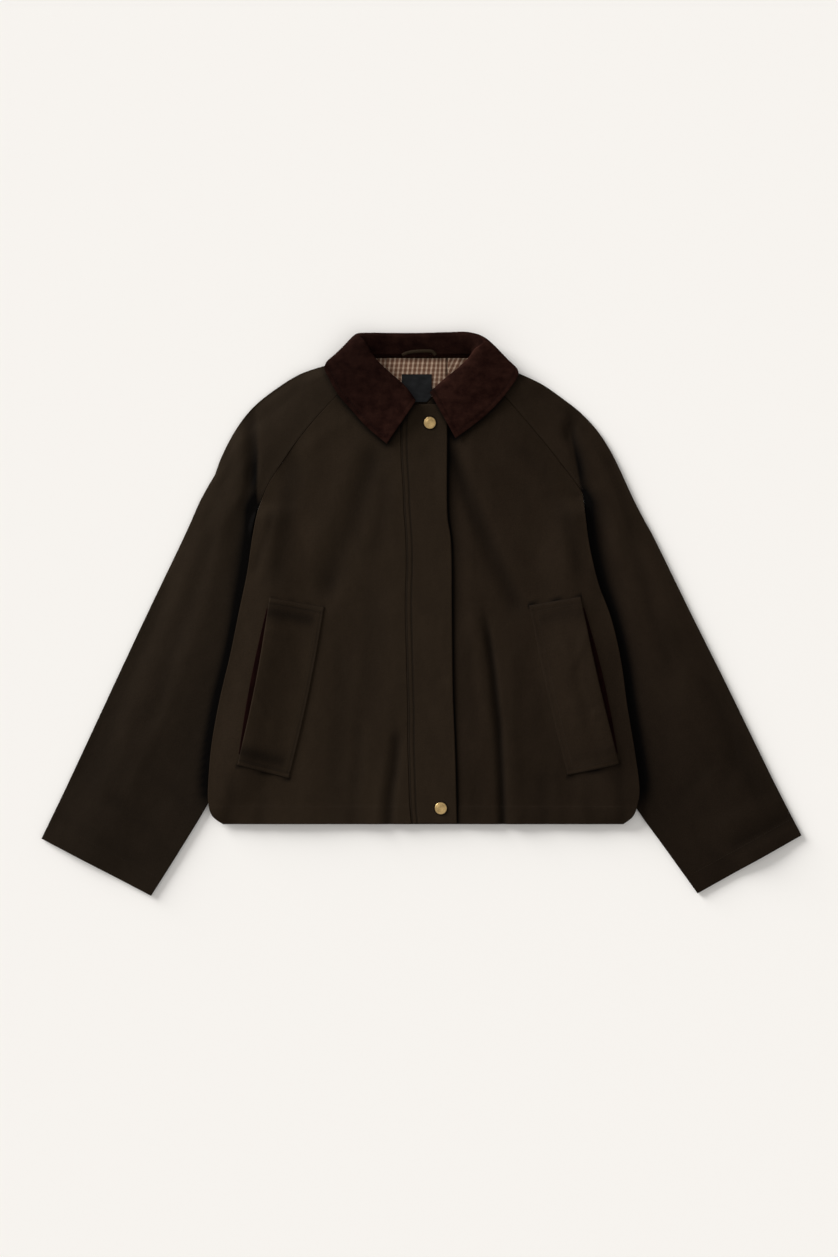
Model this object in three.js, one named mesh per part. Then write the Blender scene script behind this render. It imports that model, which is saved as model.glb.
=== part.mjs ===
// Cropped barn jacket laid flat, front up: waxed canvas body and raglan sleeves, corduroy collar,
// slanted welt pockets, snap-fastened placket. Millimetres. +X is towards the wearer's left,
// +Y towards the collar, +Z up from the surface that the jacket lies on.
import * as THREE from "three";

// ---- Driving dimensions ----
const canvasWall = 2;          // canvas with its lining, one panel
const collarWall = 2.4;        // two layers of corduroy
const placketWall = 2.3;
const weltWall = 1.6;
const facingWall = 1;
const liningWall = 1;
const labelWall = 0.8;
const seamGap = 0.3;           // between two pieces that are sewn together
const bodyPuff = 3.3;          // air between the front and the back of the body
const sleevePuff = 3.4;
const sideLift = 5.9;          // the body's sides lie on the sleeves
const sideRamp = { start: -58, end: -9 };
const neckLift = 3.3;          // the neck lies on the collar's fall
const neckRamp = { start: 236, end: 273, spread: 0.0012 };
const placketRise = 3.4;       // placket above the back panel
const snapRadius = 7.5;
const loopRadius = 1.7;

// Rows of cells in each panel, and where its columns lie across it: 0 at one edge, 1 at the other.
const yokeRows = 8;
const lowerRows = 12;
const even = (count) => Array.from({ length: count + 1 }, (_, k) => k / count);
const sideColumns = [0, 0.022, 0.047, 0.075, 0.105, 0.14, 0.19, 0.28];
const columns = {
  front: [0, 0.1, 0.2, 0.3, 0.38, 0.46, 0.54, 0.62, 0.7, 0.77, 0.83, 0.885, 0.93, 0.965, 1],
  back: [...sideColumns, 0.39, 0.5, 0.61, ...sideColumns.map((share) => 1 - share).reverse()],
  sleeveFront: even(9),
  sleeveBack: even(5),
};
const collarCells = { stations: 28, stand: 3, leaf: 7 };

const { clamp, lerp, smoothstep } = THREE.MathUtils;

// A table is a list of rows whose columns have names.
const table = (columns, ...rows) =>
  rows.map((row) => Object.fromEntries(columns.split(" ").map((name, k) => [name, row[k]])));

// ---- Plan of the cut pieces, one row for each section ----
// Above the armpit: overarm fold, raglan seam and front edge, from the neck down.
const yoke = {
  right: table("overX overY seamX seamY edgeX edgeY",
    [-75, 320, -68, 311, -26, 272],
    [-95, 315, -80, 299, -26, 248],
    [-119, 309, -97, 279, -26, 221],
    [-151, 298, -117, 259, -25, 190],
    [-182, 279, -137, 237, -23, 159],
    [-209, 257, -156, 213, -22, 130],
    [-230, 230, -174, 187, -20, 103],
    [-247, 198, -189, 164, -19, 77],
    [-256, 174, -198, 144, -19, 53]),
  left: table("overX overY seamX seamY edgeX edgeY",
    [74, 317, 64, 311, 7, 262],
    [95, 310, 78, 299, 7, 242],
    [119, 300, 97, 278, 7, 219],
    [149, 286, 118, 254, 7, 192],
    [174, 269, 138, 231, 8, 162],
    [198, 250, 158, 207, 9, 134],
    [219, 227, 175, 185, 9, 107],
    [235, 202, 189, 167, 10, 83],
    [247, 178, 200, 151, 11, 62]),
};
// Below the armpit: overarm fold and underarm seam, down to the cuff.
const arm = {
  right: table("overX overY underX underY",
    [-256, 174, -198, 144],
    [-266, 157, -203.8, 127],
    [-276, 138, -205.6, 109],
    [-287, 113, -201, 80],
    [-299, 87, -197, 43],
    [-335, 12, -200, -56],
    [-374, -71, -219, -149],
    [-414, -157, -264, -233],
    [-443, -219, -299, -291],
    [-471, -277, -335, -348]),
  left: table("overX overY underX underY",
    [247, 178, 200, 151],
    [257, 156, 202.5, 132],
    [266, 137, 203.5, 112],
    [277, 116, 199, 80],
    [290, 92, 194, 37],
    [334, 2, 198, -68],
    [375, -80, 219, -161],
    [415, -162, 266, -239],
    [441, -215, 301, -288],
    [471, -273, 342, -345]),
};
// Below the armpit: side seam and front edge, down to the hem.
const body = {
  right: table("sideX sideY edgeX edgeY",
    [-198, 144, -19, 53],
    [-204, 125, -20, 29],
    [-210, 93, -20, -4],
    [-216, 52, -19, -41],
    [-226, 4, -18, -81],
    [-237, -50, -17, -120],
    [-250, -105, -17, -157],
    [-260, -161, -16, -192],
    [-264, -208, -15, -226],
    [-264, -233, -14, -244],
    [-259, -249, -13, -254],
    [-246, -259, -13, -259]),
  left: table("sideX sideY edgeX edgeY",
    [200, 151, 11, 62],
    [203, 125, 11, 36],
    [208, 87, 11, 4],
    [219, 40, 12, -37],
    [235, -4, 12, -78],
    [247, -56, 13, -118],
    [255, -113, 14, -157],
    [264, -167, 14, -192],
    [270, -212, 15, -226],
    [268, -233, 15, -244],
    [262, -249, 15, -254],
    [250, -259, 16, -259]),
};
// Free edge of the placket, from the neck to the hem.
const placketEdge = table("x y",
  [32, 261],
  [32, 226],
  [32, 130],
  [37, 86],
  [38, -6],
  [39, -93],
  [42, -174],
  [44, -259]);
// Collar: neck seam, roll and outer edge, round the neck from right tip to left tip. turn is the
// way the cloth goes at the roll: 90 up and over a front, 0 outwards at a shoulder, -90 down
// behind the back, where the fall lies under the panel.
const collarSections = table("baseX baseY rollX rollY edgeX edgeY rollZ turn",
  [-13, 258, -8, 264, -43, 212, 15, 60],
  [-28, 273, -22, 283, -68, 233, 17, 75],
  [-44, 289, -39, 298, -86, 253, 19, 80],
  [-57, 304, -54, 312, -104, 274, 21, 72],
  [-65, 314, -65, 326, -115, 294, 23, 50],
  [-69, 319, -72, 338, -120, 307, 24, 10],
  [-67, 322, -78, 346, -109, 318, 19, -40],
  [-58, 323, -61, 348, -98, 306, 12, -80],
  [-39, 323, -38, 348, -62, 286, 9, -90],
  [-2, 323, -2, 348, -2, 283, 9, -90],
  [35, 323, 34, 349, 58, 286, 9, -90],
  [55, 323, 56, 349, 98, 303, 12, -80],
  [63, 322, 71, 344, 110, 310, 19, -40],
  [66, 318, 77, 336, 120, 299, 24, 10],
  [63, 312, 67, 328, 112, 284, 23, 50],
  [55, 303, 58, 316, 97, 265, 21, 72],
  [42, 291, 44, 303, 80, 248, 19, 80],
  [28, 279, 29, 291, 60, 232, 17, 75],
  [16, 267, 11, 274, 42, 219, 14, 60]);
// Pocket welts by their corners, and the mouth that shows past their outer edge.
const pockets = {
  right: { top: [[-188, 22], [-120, 10]], bottom: [[-228, -186], [-164, -203]], bow: 3, mouth: 7 },
  left: { top: [[197, 23], [133, 12]], bottom: [[245, -185], [181, -199]], bow: -2, mouth: 7 },
};
const snapPlaces = { snap_top: [10.3, 238], snap_bottom: [23.9, -239.3] };
const liningSections = table("rightX leftX y",
  [-61, 58, 318],
  [-55, 50, 304],
  [-42, 36, 291],
  [-29, 22, 279],
  [-26, 10, 268],
  [-25, 5, 263.5]);
const labelSections = table("rightX leftX y",
  [-24.6, 12, 298],
  [-24.6, 12, 284],
  [-24.6, 12, 272],
  [-24.6, 6, 264.5]);
const loopPath = [[-24, 321.5], [-17, 324.5], [-8, 326], [4, 326.6], [13, 326], [17.5, 321.5]];

// ---- Main folds, each a soft trough (height below 0) along a line ----
const folds = {
  front_right: table("x1 y1 x2 y2 width height",
    [-64, 188, -108, 41, 20, -1.4],
    [-162, 176, -176, 60, 18, -1.2],
    [-31, -150, -41, -262, 11, -2.3]),
  front_left: table("x1 y1 x2 y2 width height",
    [79, 6, 92, -89, 11, -2.4],
    [92, -89, 101, -262, 11, -2.6],
    [42, 217, 147, 19, 18, -1.4]),
  sleeve_right: table("x1 y1 x2 y2 width height",
    [-212, 248, -210, 175, 12, -2],
    [-210, 175, -219, 139, 12, -2],
    [-318, 20, -408, -190, 18, -1.5]),
  sleeve_left: table("x1 y1 x2 y2 width height",
    [191, 251, 184, 226, 12, -1.8],
    [184, 226, 196, 176, 12, -2],
    [330, -30, 420, -215, 18, -1.4],
    [462, -246, 394, -285, 12, -1.6]),
};

// Depth of the folds at a place: a bell across each line, fading past its ends.
function foldDepth(list, x, y) {
  return list.reduce((sum, { x1, y1, x2, y2, width, height }) => {
    const length = Math.hypot(x2 - x1, y2 - y1);
    const dirX = (x2 - x1) / length;
    const dirY = (y2 - y1) / length;
    const along = (x - x1) * dirX + (y - y1) * dirY;
    const across = (x - x1) * dirY - (y - y1) * dirX;
    const past = Math.max(0, -along, along - length);
    return sum + height * Math.exp(-((across / width) ** 2) - (past / (1.5 * width)) ** 2);
  }, 0);
}

// ---- Edges and seams ----
// The curve through two columns of a table, at count + 1 places.
function edge(rows, xName, yName, count) {
  const places = rows.map((row) => new THREE.Vector2(row[xName], row[yName]));
  return new THREE.SplineCurve(places).getPoints(count);
}
const join = (upper, lower) => [...upper, ...lower.slice(1)];

const edges = {};
for (const side of ["right", "left"]) {
  const seam = edge(yoke[side], "seamX", "seamY", yokeRows);
  const under = edge(arm[side], "underX", "underY", lowerRows);
  const crown = edge(yoke[side], "overX", "overY", yokeRows);
  const upperFront = edge(yoke[side], "edgeX", "edgeY", yokeRows);
  edges[side] = {
    over: join(crown, edge(arm[side], "overX", "overY", lowerRows)),
    under,
    sleeveSeam: join(seam, under),
    bodySeam: join(seam, edge(body[side], "sideX", "sideY", lowerRows)),
    front: join(upperFront, edge(body[side], "edgeX", "edgeY", lowerRows)),
  };
}

// X of an edge that runs downwards, where it passes a given y.
function edgeX(points, y) {
  const found = points.findIndex((point) => point.y < y);
  const next = found < 0 ? points.length - 1 : Math.max(found, 1);
  const [upper, lower] = [points[next - 1], points[next]];
  return lerp(upper.x, lower.x, clamp((upper.y - y) / (upper.y - lower.y), 0, 1));
}

// ---- Heights above the table ----
const collarLift = (x, y) => {
  const spread = neckRamp.spread * x * x;
  return neckLift * smoothstep(y, neckRamp.start + spread, neckRamp.end + spread);
};
function sleeveLift(x, y) {
  const side = x < 0 ? "right" : "left";
  const below = edges[side].under[0].y - y;
  const past = Math.abs(x) - Math.abs(edgeX(edges[side].under, y));
  return sideLift * smoothstep(below, 2, 28) * smoothstep(past, sideRamp.start, sideRamp.end);
}
const backHeight = (x, y) => collarLift(x, y) + sleeveLift(x, y);
const sleeveBackHeight = collarLift;
// Share of the puff that is left at the raglan seam: full at the neck, pinched at the armpit.
const seamPuff = (row) => 1 - 0.92 * Math.min(1, row / yokeRows) ** 3;

const frontHeight = (side) => (x, y, row, share) => {
  const list = folds[`front_${side}`];
  const edgeShare = side === "left" ? lerp(0.1, 1, smoothstep(x, 36, 66)) : 1;
  const puff = bodyPuff * edgeShare * (1 - smoothstep(share, 0.84, 1) * (1 - seamPuff(row)));
  return backHeight(x, y) + canvasWall + seamGap + Math.max(0.05, puff + foldDepth(list, x, y) * edgeShare);
};
const sleeveFrontHeight = (side) => (x, y, row, share) => {
  const down = smoothstep(row, yokeRows, yokeRows + 4);
  const pinch = smoothstep(share, lerp(0.6, 0.4, down), lerp(1, 0.7, down));
  const puff = sleevePuff * smoothstep(share, -0.08, 0.32) * (1 - pinch * (1 - seamPuff(row)));
  const depth = foldDepth(folds[`sleeve_${side}`], x, y);
  return sleeveBackHeight(x, y) + canvasWall + seamGap + Math.max(0.05, puff + depth * (1 - pinch));
};

// ---- Walls ----
// A closed wall between two grids of points, faces outward.
function wall(lower, upper) {
  const rows = lower.length;
  const columns = lower[0].length;
  const points = [...lower.flat(), ...upper.flat()];
  const top = rows * columns;
  const at = (row, column) => row * columns + column;
  const faces = [];
  const quad = (a, b, c, d) => faces.push(a, b, c, a, c, d);
  for (let row = 0; row < rows - 1; row++) {
    for (let column = 0; column < columns - 1; column++) {
      const [a, b] = [at(row, column), at(row, column + 1)];
      const [d, c] = [at(row + 1, column), at(row + 1, column + 1)];
      quad(a, b, c, d);
      quad(top + d, top + c, top + b, top + a);
    }
  }
  const rim = [];
  for (let column = 0; column < columns - 1; column++) rim.push(at(0, column));
  for (let row = 0; row < rows - 1; row++) rim.push(at(row, columns - 1));
  for (let column = columns - 1; column > 0; column--) rim.push(at(rows - 1, column));
  for (let row = rows - 1; row > 0; row--) rim.push(at(row, 0));
  rim.forEach((a, k) => {
    const b = rim[(k + 1) % rim.length];
    quad(a, top + a, top + b, b);
  });
  let volume = 0;
  for (let k = 0; k < faces.length; k += 3) {
    const [a, b, c] = [points[faces[k]], points[faces[k + 1]], points[faces[k + 2]]];
    volume += a.dot(b.clone().cross(c));
  }
  if (volume < 0) faces.reverse();
  const geometry = new THREE.BufferGeometry().setFromPoints(points);
  geometry.setIndex(faces);
  geometry.computeVertexNormals();
  return geometry;
}

// A grid of plan points between two edges, drawn in by half a seam gap at both.
function planGrid(edgeA, edgeB, shares) {
  return edgeA.map((from, row) => {
    const to = edgeB[row];
    const inset = seamGap / from.distanceTo(to);
    return shares.map((share) => {
      const point = from.clone().lerp(to, lerp(inset, 1 - inset, share));
      return { point, row, share };
    });
  });
}

// Lifts a plan grid to the height of its lower face, and gives it a wall straight up.
function raise(grid, height, thickness) {
  const lower = grid.map((line) => line.map(({ point, row, share }) =>
    new THREE.Vector3(point.x, point.y, height(point.x, point.y, row, share))));
  const upper = lower.map((line) => line.map((p) => new THREE.Vector3(p.x, p.y, p.z + thickness)));
  return { lower, upper };
}

// Height of a grid's surface over a plan point, or -Infinity beside it.
function surfaceHeight(surface, x, y) {
  let height = -Infinity;
  const overTriangle = (a, b, c) => {
    const area = (b.x - a.x) * (c.y - a.y) - (c.x - a.x) * (b.y - a.y);
    const shareB = ((x - a.x) * (c.y - a.y) - (c.x - a.x) * (y - a.y)) / area;
    const shareC = ((b.x - a.x) * (y - a.y) - (x - a.x) * (b.y - a.y)) / area;
    if (shareB < 0 || shareC < 0 || shareB + shareC > 1) return;
    height = Math.max(height, a.z + shareB * (b.z - a.z) + shareC * (c.z - a.z));
  };
  for (let row = 0; row < surface.length - 1; row++) {
    for (let column = 0; column < surface[0].length - 1; column++) {
      const [a, b] = [surface[row][column], surface[row][column + 1]];
      const [d, c] = [surface[row + 1][column], surface[row + 1][column + 1]];
      overTriangle(a, b, c);
      overTriangle(a, c, d);
    }
  }
  return height;
}

// Highest point of some surfaces within reach of a plan point: what lies there rests on it.
function restHeight(surfaces, x, y, reach) {
  let height = -Infinity;
  for (const stepX of [-reach, 0, reach]) {
    for (const stepY of [-reach, 0, reach]) {
      for (const surface of surfaces) {
        height = Math.max(height, surfaceHeight(surface, x + stepX, y + stepY));
      }
    }
  }
  return height;
}

// ---- Pieces ----
const canvasColor = { right: 0x29221a, left: 0x251c15 };
const group = new THREE.Group();
function addPiece(name, geometry, color, roughness = 0.8, metalness = 0) {
  const mesh = new THREE.Mesh(geometry, new THREE.MeshStandardMaterial({ color, roughness, metalness }));
  mesh.name = name;
  group.add(mesh);
}
function addPanel(name, grid, height, thickness, color) {
  const { lower, upper } = raise(grid, height, thickness);
  addPiece(name, wall(lower, upper), color);
  return upper;
}

// Back: one panel from side to side, its top edge rising between the neck corners.
const neckRise = 8;
const neckRows = 2;
const backGrid = planGrid(edges.right.bodySeam, edges.left.bodySeam, columns.back);
for (const { point, row, share } of backGrid.slice(0, neckRows).flat()) {
  point.y += neckRise * (1 - (2 * share - 1) ** 6) * (1 - row / neckRows);
}
addPanel("back", backGrid, backHeight, canvasWall, canvasColor.right);

// Fronts and sleeves.
const fronts = {};
for (const side of ["right", "left"]) {
  const { front, bodySeam, over, sleeveSeam } = edges[side];
  const color = canvasColor[side];
  const frontGrid = planGrid(front, bodySeam, columns.front);
  const sleeveFrontGrid = planGrid(over, sleeveSeam, columns.sleeveFront);
  const sleeveBackGrid = planGrid(over, sleeveSeam, columns.sleeveBack);
  fronts[side] = addPanel(`front_${side}`, frontGrid, frontHeight(side), canvasWall, color);
  addPanel(`sleeve_front_${side}`, sleeveFrontGrid, sleeveFrontHeight(side), canvasWall, color);
  addPanel(`sleeve_back_${side}`, sleeveBackGrid, sleeveBackHeight, canvasWall, color);
}

// Placket: sewn to the right front, lying over the left front.
const placketFree = edge(placketEdge, "x", "y", 20);
const placketSeam = placketFree.map(({ y }) => new THREE.Vector2(edgeX(edges.right.front, y), y));
const placketGrid = planGrid(placketSeam, placketFree, even(4));
const placketHeight = (x, y) => backHeight(x, y) + canvasWall + placketRise;
const placketTop = addPanel("placket", placketGrid, placketHeight, placketWall, 0x261d15);

// Neck lining and the bare label on it, between the fronts' neck edges.
const liningRows = 8;
const liningGrid = planGrid(edge(liningSections, "rightX", "y", liningRows),
  edge(liningSections, "leftX", "y", liningRows), even(6));
const liningTop = addPanel("neck_lining", liningGrid,
  (x, y) => backHeight(x, y) + canvasWall + 0.4, liningWall, 0x604b3b);
const labelRows = 3;
const labelGrid = planGrid(edge(labelSections, "rightX", "y", labelRows),
  edge(labelSections, "leftX", "y", labelRows), even(3));
const labelHeight = (x, y) => restHeight([liningTop], x, y, 5) + seamGap;
addPanel("neck_label", labelGrid, labelHeight, labelWall, 0x262728);

// Collar: for each section a stand from the neck seam to the roll, then the leaf to its edge.
const collarClear = 1.2;
function bezier(a, b, c, d, t) {
  const s = 1 - t;
  return a.clone().multiplyScalar(s * s * s).addScaledVector(b, 3 * s * s * t)
    .addScaledVector(c, 3 * s * t * t).addScaledVector(d, t * t * t);
}
const neckCentre = new THREE.Vector2(-1, 292);
const rollPull = 7;
function collarLine(section) {
  const { baseX, baseY, rollX, rollY, edgeX, edgeY, rollZ, turn } = section;
  const under = smoothstep(-turn, 0, 60);
  const ground = canvasWall + seamGap + bodyPuff + canvasWall + collarClear + collarWall / 2;
  const behind = neckLift + canvasWall + seamGap + collarWall / 2;
  const baseZ = lerp(collarLift(baseX, baseY) + ground, behind, under);
  const edgeZ = lerp(collarLift(edgeX, edgeY) + ground, collarWall / 2, under);
  const angle = THREE.MathUtils.degToRad(turn);
  const outward = new THREE.Vector2(rollX, rollY).sub(neckCentre).normalize();
  const start = new THREE.Vector3(baseX, baseY, baseZ);
  const roll = new THREE.Vector3(rollX, rollY, rollZ);
  const end = new THREE.Vector3(edgeX, edgeY, edgeZ);
  const way = new THREE.Vector3(outward.x * Math.cos(angle), outward.y * Math.cos(angle), Math.sin(angle));
  const beforeRoll = roll.clone().addScaledVector(way, -rollPull);
  const afterRoll = roll.clone().addScaledVector(way, rollPull);
  const intoLeaf = end.clone().lerp(roll, lerp(0.4, 0.8, under));
  intoLeaf.z = lerp(collarLift(intoLeaf.x, intoLeaf.y) + ground + 3, end.z, under);
  const stand = even(collarCells.stand).slice(0, -1).map((t) =>
    bezier(start, start.clone().lerp(roll, 0.3), beforeRoll, roll, t));
  const leaf = even(collarCells.leaf).map((t) => bezier(roll, afterRoll, intoLeaf, end, t ** 1.4));
  return [...stand, ...leaf];
}
// A section between two rows of the table, every column on its own smooth curve.
function collarSection(place) {
  const names = Object.keys(collarSections[0]);
  const last = collarSections.length - 1;
  const row = Math.min(Math.floor(place * last), last - 1);
  const t = place * last - row;
  const [before, from, to, after] = [-1, 0, 1, 2].map((step) => collarSections[clamp(row + step, 0, last)]);
  return Object.fromEntries(names.map((name) => {
    const slope = [(to[name] - before[name]) / 2, (after[name] - from[name]) / 2];
    const [a, b] = [from[name], to[name]];
    const value = (2 * a - 2 * b + slope[0] + slope[1]) * t ** 3
      + (3 * b - 3 * a - 2 * slope[0] - slope[1]) * t ** 2 + slope[0] * t + a;
    return [name, value];
  }));
}
// Points of a grid moved along the surface normal.
function offset(grid, distance) {
  return grid.map((line, row) => line.map((point, column) => {
    const acrossRow = line[Math.min(column + 1, line.length - 1)].clone()
      .sub(line[Math.max(column - 1, 0)]);
    const alongRow = grid[Math.min(row + 1, grid.length - 1)][column].clone()
      .sub(grid[Math.max(row - 1, 0)][column]);
    return point.clone().addScaledVector(acrossRow.cross(alongRow).normalize(), distance);
  }));
}
const collarGrid = even(collarCells.stations).map((place) => collarLine(collarSection(place)));
const collarFaces = [-collarWall / 2, collarWall / 2].map((distance) => offset(collarGrid, distance));
addPiece("collar", wall(...collarFaces), 0x1e110e);

// Pocket welts and the facing that shows in each mouth.
const weltRows = 9;
const mouthLift = 2.2;         // the free edge of a welt stands off the front
const facingUnder = 4;         // facing that runs in under the welt
for (const side of ["right", "left"]) {
  const { top, bottom, bow, mouth } = pockets[side];
  const corner = ([x, y]) => new THREE.Vector2(x, y);
  const outwardX = side === "right" ? -1 : 1;
  // The line down the pocket at a distance in from its free edge, bowed a little.
  const down = (share, shift) => even(weltRows).map((t) => {
    const from = corner(top[0]).lerp(corner(top[1]), share);
    const to = corner(bottom[0]).lerp(corner(bottom[1]), share);
    const point = from.lerp(to, t);
    point.x += outwardX * Math.sin(Math.PI * t) * shift + Math.sin(Math.PI * t) * bow;
    return point;
  });
  const fabric = [fronts[side]];
  const weltHeight = (x, y, row, share) => {
    const open = (1 - smoothstep(share, 0, 0.4)) * Math.sin((Math.PI * row) / weltRows) ** 0.6;
    return restHeight(fabric, x, y, 6) + seamGap + (mouthLift + facingWall) * open;
  };
  const weltGrid = planGrid(down(0, 0), down(1, 0), even(4));
  addPanel(`pocket_welt_${side}`, weltGrid, weltHeight, weltWall, canvasColor[side]);
  const facingGrid = planGrid(down(0, mouth), down(0, -facingUnder), even(2)).slice(1, -1);
  const facingHeight = (x, y) => restHeight(fabric, x, y, 2) + seamGap;
  addPanel(`pocket_facing_${side}`, facingGrid, facingHeight, facingWall, 0x180f0c);
}

// Snap caps: a domed button on a low rim.
const snapProfile = [
  [0, 0],
  [6.6, 0],
  [snapRadius, 0.5],
  [snapRadius, 1.3],
  [6.7, 1.9],
  [4.6, 2.4],
  [2.3, 2.7],
  [0, 2.8],
].map(([radius, z]) => new THREE.Vector2(radius, z));
for (const [name, [x, y]] of Object.entries(snapPlaces)) {
  const cap = new THREE.LatheGeometry(snapProfile, 16);
  cap.rotateX(Math.PI / 2);
  cap.translate(x, y, restHeight([placketTop], x, y, snapRadius) + seamGap);
  addPiece(name, cap, 0xcdb98c, 0.3, 1);
}

// Hanger loop: a canvas tube sewn in at the back neck seam, lying on the collar stand.
const standSlope = 0.14;
const loopHeight = 10.2;       // centre of the tube at the neck seam
const loopSides = 8;
const loopSection = new THREE.Shape(Array.from({ length: loopSides }, (_, k) => {
  const angle = (2 * Math.PI * k) / loopSides;
  return new THREE.Vector2(loopRadius * Math.cos(angle), loopRadius * Math.sin(angle));
}));
const loopLine = new THREE.CatmullRomCurve3(loopPath.map(([x, y]) =>
  new THREE.Vector3(x, y, loopHeight + standSlope * (y - loopPath[0][1]))));
const loopOptions = { steps: 14, bevelEnabled: false, extrudePath: loopLine };
addPiece("hanger_loop", new THREE.ExtrudeGeometry(loopSection, loopOptions), 0x261d15);

export default group;
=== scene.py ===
import math

import bpy
import numpy as np
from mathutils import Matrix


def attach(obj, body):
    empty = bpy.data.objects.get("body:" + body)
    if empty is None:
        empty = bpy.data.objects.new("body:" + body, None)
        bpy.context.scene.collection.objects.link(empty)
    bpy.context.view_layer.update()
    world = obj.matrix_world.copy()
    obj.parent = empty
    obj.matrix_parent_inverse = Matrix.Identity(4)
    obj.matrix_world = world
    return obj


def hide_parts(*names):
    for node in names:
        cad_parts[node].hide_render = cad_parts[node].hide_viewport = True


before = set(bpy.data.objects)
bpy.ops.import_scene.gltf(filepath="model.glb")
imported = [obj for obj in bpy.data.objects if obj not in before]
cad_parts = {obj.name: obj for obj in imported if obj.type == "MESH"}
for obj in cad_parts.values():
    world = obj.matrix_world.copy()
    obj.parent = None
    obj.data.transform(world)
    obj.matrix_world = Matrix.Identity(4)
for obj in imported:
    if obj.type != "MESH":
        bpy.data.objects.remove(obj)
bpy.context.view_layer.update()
print("frame loaded:", len(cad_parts), "nodes")

# Sizes are in millimetres up to the moment that a mesh is made, as on a maker's pattern.
toMetres = 0.001
cloth = {"wall": 2.0, "seamGap": 0.12, "clear": 0.1, "bodyPuff": 3.3, "sleevePuff": 3.4,
         "edgeRound": 1.1, "sewnEdgeRound": 0.6}
sideLay = {"lift": 5.9, "start": -58, "end": -9, "firstBelow": 2, "fullBelow": 28}  # body over the sleeves
neckLay = {"lift": 3.3, "start": 236, "end": 273, "spread": 0.0012}  # neck over the collar's fall
fineness = {"rowsPerSection": 7, "columns": 84, "yokeSections": 8, "lowerSections": 12}

# Plan of the jacket, a row for each section.
# Overarm x, y, raglan seam x, y, front edge x, y, from the neck to the armpit
yoke = {
    "right": [(-75, 320, -68, 311, -26, 272), (-95, 315, -80, 299, -26, 248),
              (-119, 309, -97, 279, -26, 221), (-151, 298, -117, 259, -25, 190),
              (-182, 279, -137, 237, -23, 159), (-209, 257, -156, 213, -22, 130),
              (-230, 230, -174, 187, -20, 103), (-247, 198, -189, 164, -19, 77),
              (-256, 174, -198, 144, -19, 53)],
    "left": [(74, 317, 64, 311, 7, 262), (95, 310, 78, 299, 7, 242), (119, 300, 97, 278, 7, 219),
             (149, 286, 118, 254, 7, 192), (174, 269, 138, 231, 8, 162), (198, 250, 158, 207, 9, 134),
             (219, 227, 175, 185, 9, 107), (235, 202, 189, 167, 10, 83), (247, 178, 200, 151, 11, 62)],
}
# Overarm x, y, underarm seam x, y, from the armpit to the cuff
arm = {
    "right": [(-256, 174, -198, 144), (-266, 157, -203.8, 127), (-276, 138, -205.6, 109),
              (-287, 113, -201, 80), (-299, 87, -197, 43), (-335, 12, -200, -56),
              (-374, -71, -219, -149), (-414, -157, -264, -233), (-443, -219, -299, -291),
              (-471, -277, -335, -348)],
    "left": [(247, 178, 200, 151), (257, 156, 202.5, 132), (266, 137, 203.5, 112), (277, 116, 199, 80),
             (290, 92, 194, 37), (334, 2, 198, -68), (375, -80, 219, -161), (415, -162, 266, -239),
             (441, -215, 301, -288), (471, -273, 342, -345)],
}
# Side seam x, y, front edge x, y, from the armpit to the hem
torso = {
    "right": [(-198, 144, -19, 53), (-204, 125, -20, 29), (-210, 93, -20, -4), (-216, 52, -19, -41),
              (-226, 4, -18, -81), (-237, -50, -17, -120), (-250, -105, -17, -157),
              (-260, -161, -16, -192), (-264, -208, -15, -226), (-264, -233, -14, -244),
              (-259, -249, -13, -254), (-246, -259, -13, -259)],
    "left": [(200, 151, 11, 62), (203, 125, 11, 36), (208, 87, 11, 4), (219, 40, 12, -37),
             (235, -4, 12, -78), (247, -56, 13, -118), (255, -113, 14, -157), (264, -167, 14, -192),
             (270, -212, 15, -226), (268, -233, 15, -244), (262, -249, 15, -254),
             (250, -259, 16, -259)],
}

# Folds: x1, y1, x2, y2, width, height (below 0 a trough, above 0 a ridge)
bodyFolds = {
    "right": [(-64, 186, -110, 44, 15, -2.1), (-162, 176, -176, 60, 15, -1.7),
              (-84, 196, -136, 70, 15, 0.9), (-108, 41, -118, 20, 12, -0.8),
              (-31, -158, -41, -262, 7, -2.6), (-47, -190, -56, -262, 8, 0.9),
              (-90, 120, -118, -10, 14, 0.7), (-60, 20, -66, -120, 16, -0.9),
              (-98, -60, -104, -245, 14, -1.0), (-128, -80, -142, -250, 15, 0.8),
              (-186, 120, -204, 60, 6, -0.9), (-78, -150, -84, -258, 9, -1.1),
              (-140, 210, -92, 240, 9, 0.7), (-232, -205, -240, -258, 8, -0.9),
              (-196, -212, -200, -258, 8, -0.7), (-44, 160, -52, 90, 10, -0.8)],
    "left": [(66, -10, 84, -140, 8, 1.0), (110, -60, 116, -255, 11, 1.3),
             (40, 190, 114, 20, 11.5, -2.1), (38, 200, 62, 120, 6, -0.7), (64, 196, 134, 44, 15, 1.0),
             (60, -40, 66, -250, 12, -0.8), (176, 130, 196, 60, 9, -1.0),
             (150, -210, 154, -262, 9, -0.8), (214, 53, 221, 28, 5, -1.2),
             (128, 200, 152, 172, 9, -0.8), (246, -196, 250, -258, 8, -0.8),
             (196, -208, 200, -260, 9, 0.7)],
}
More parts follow.
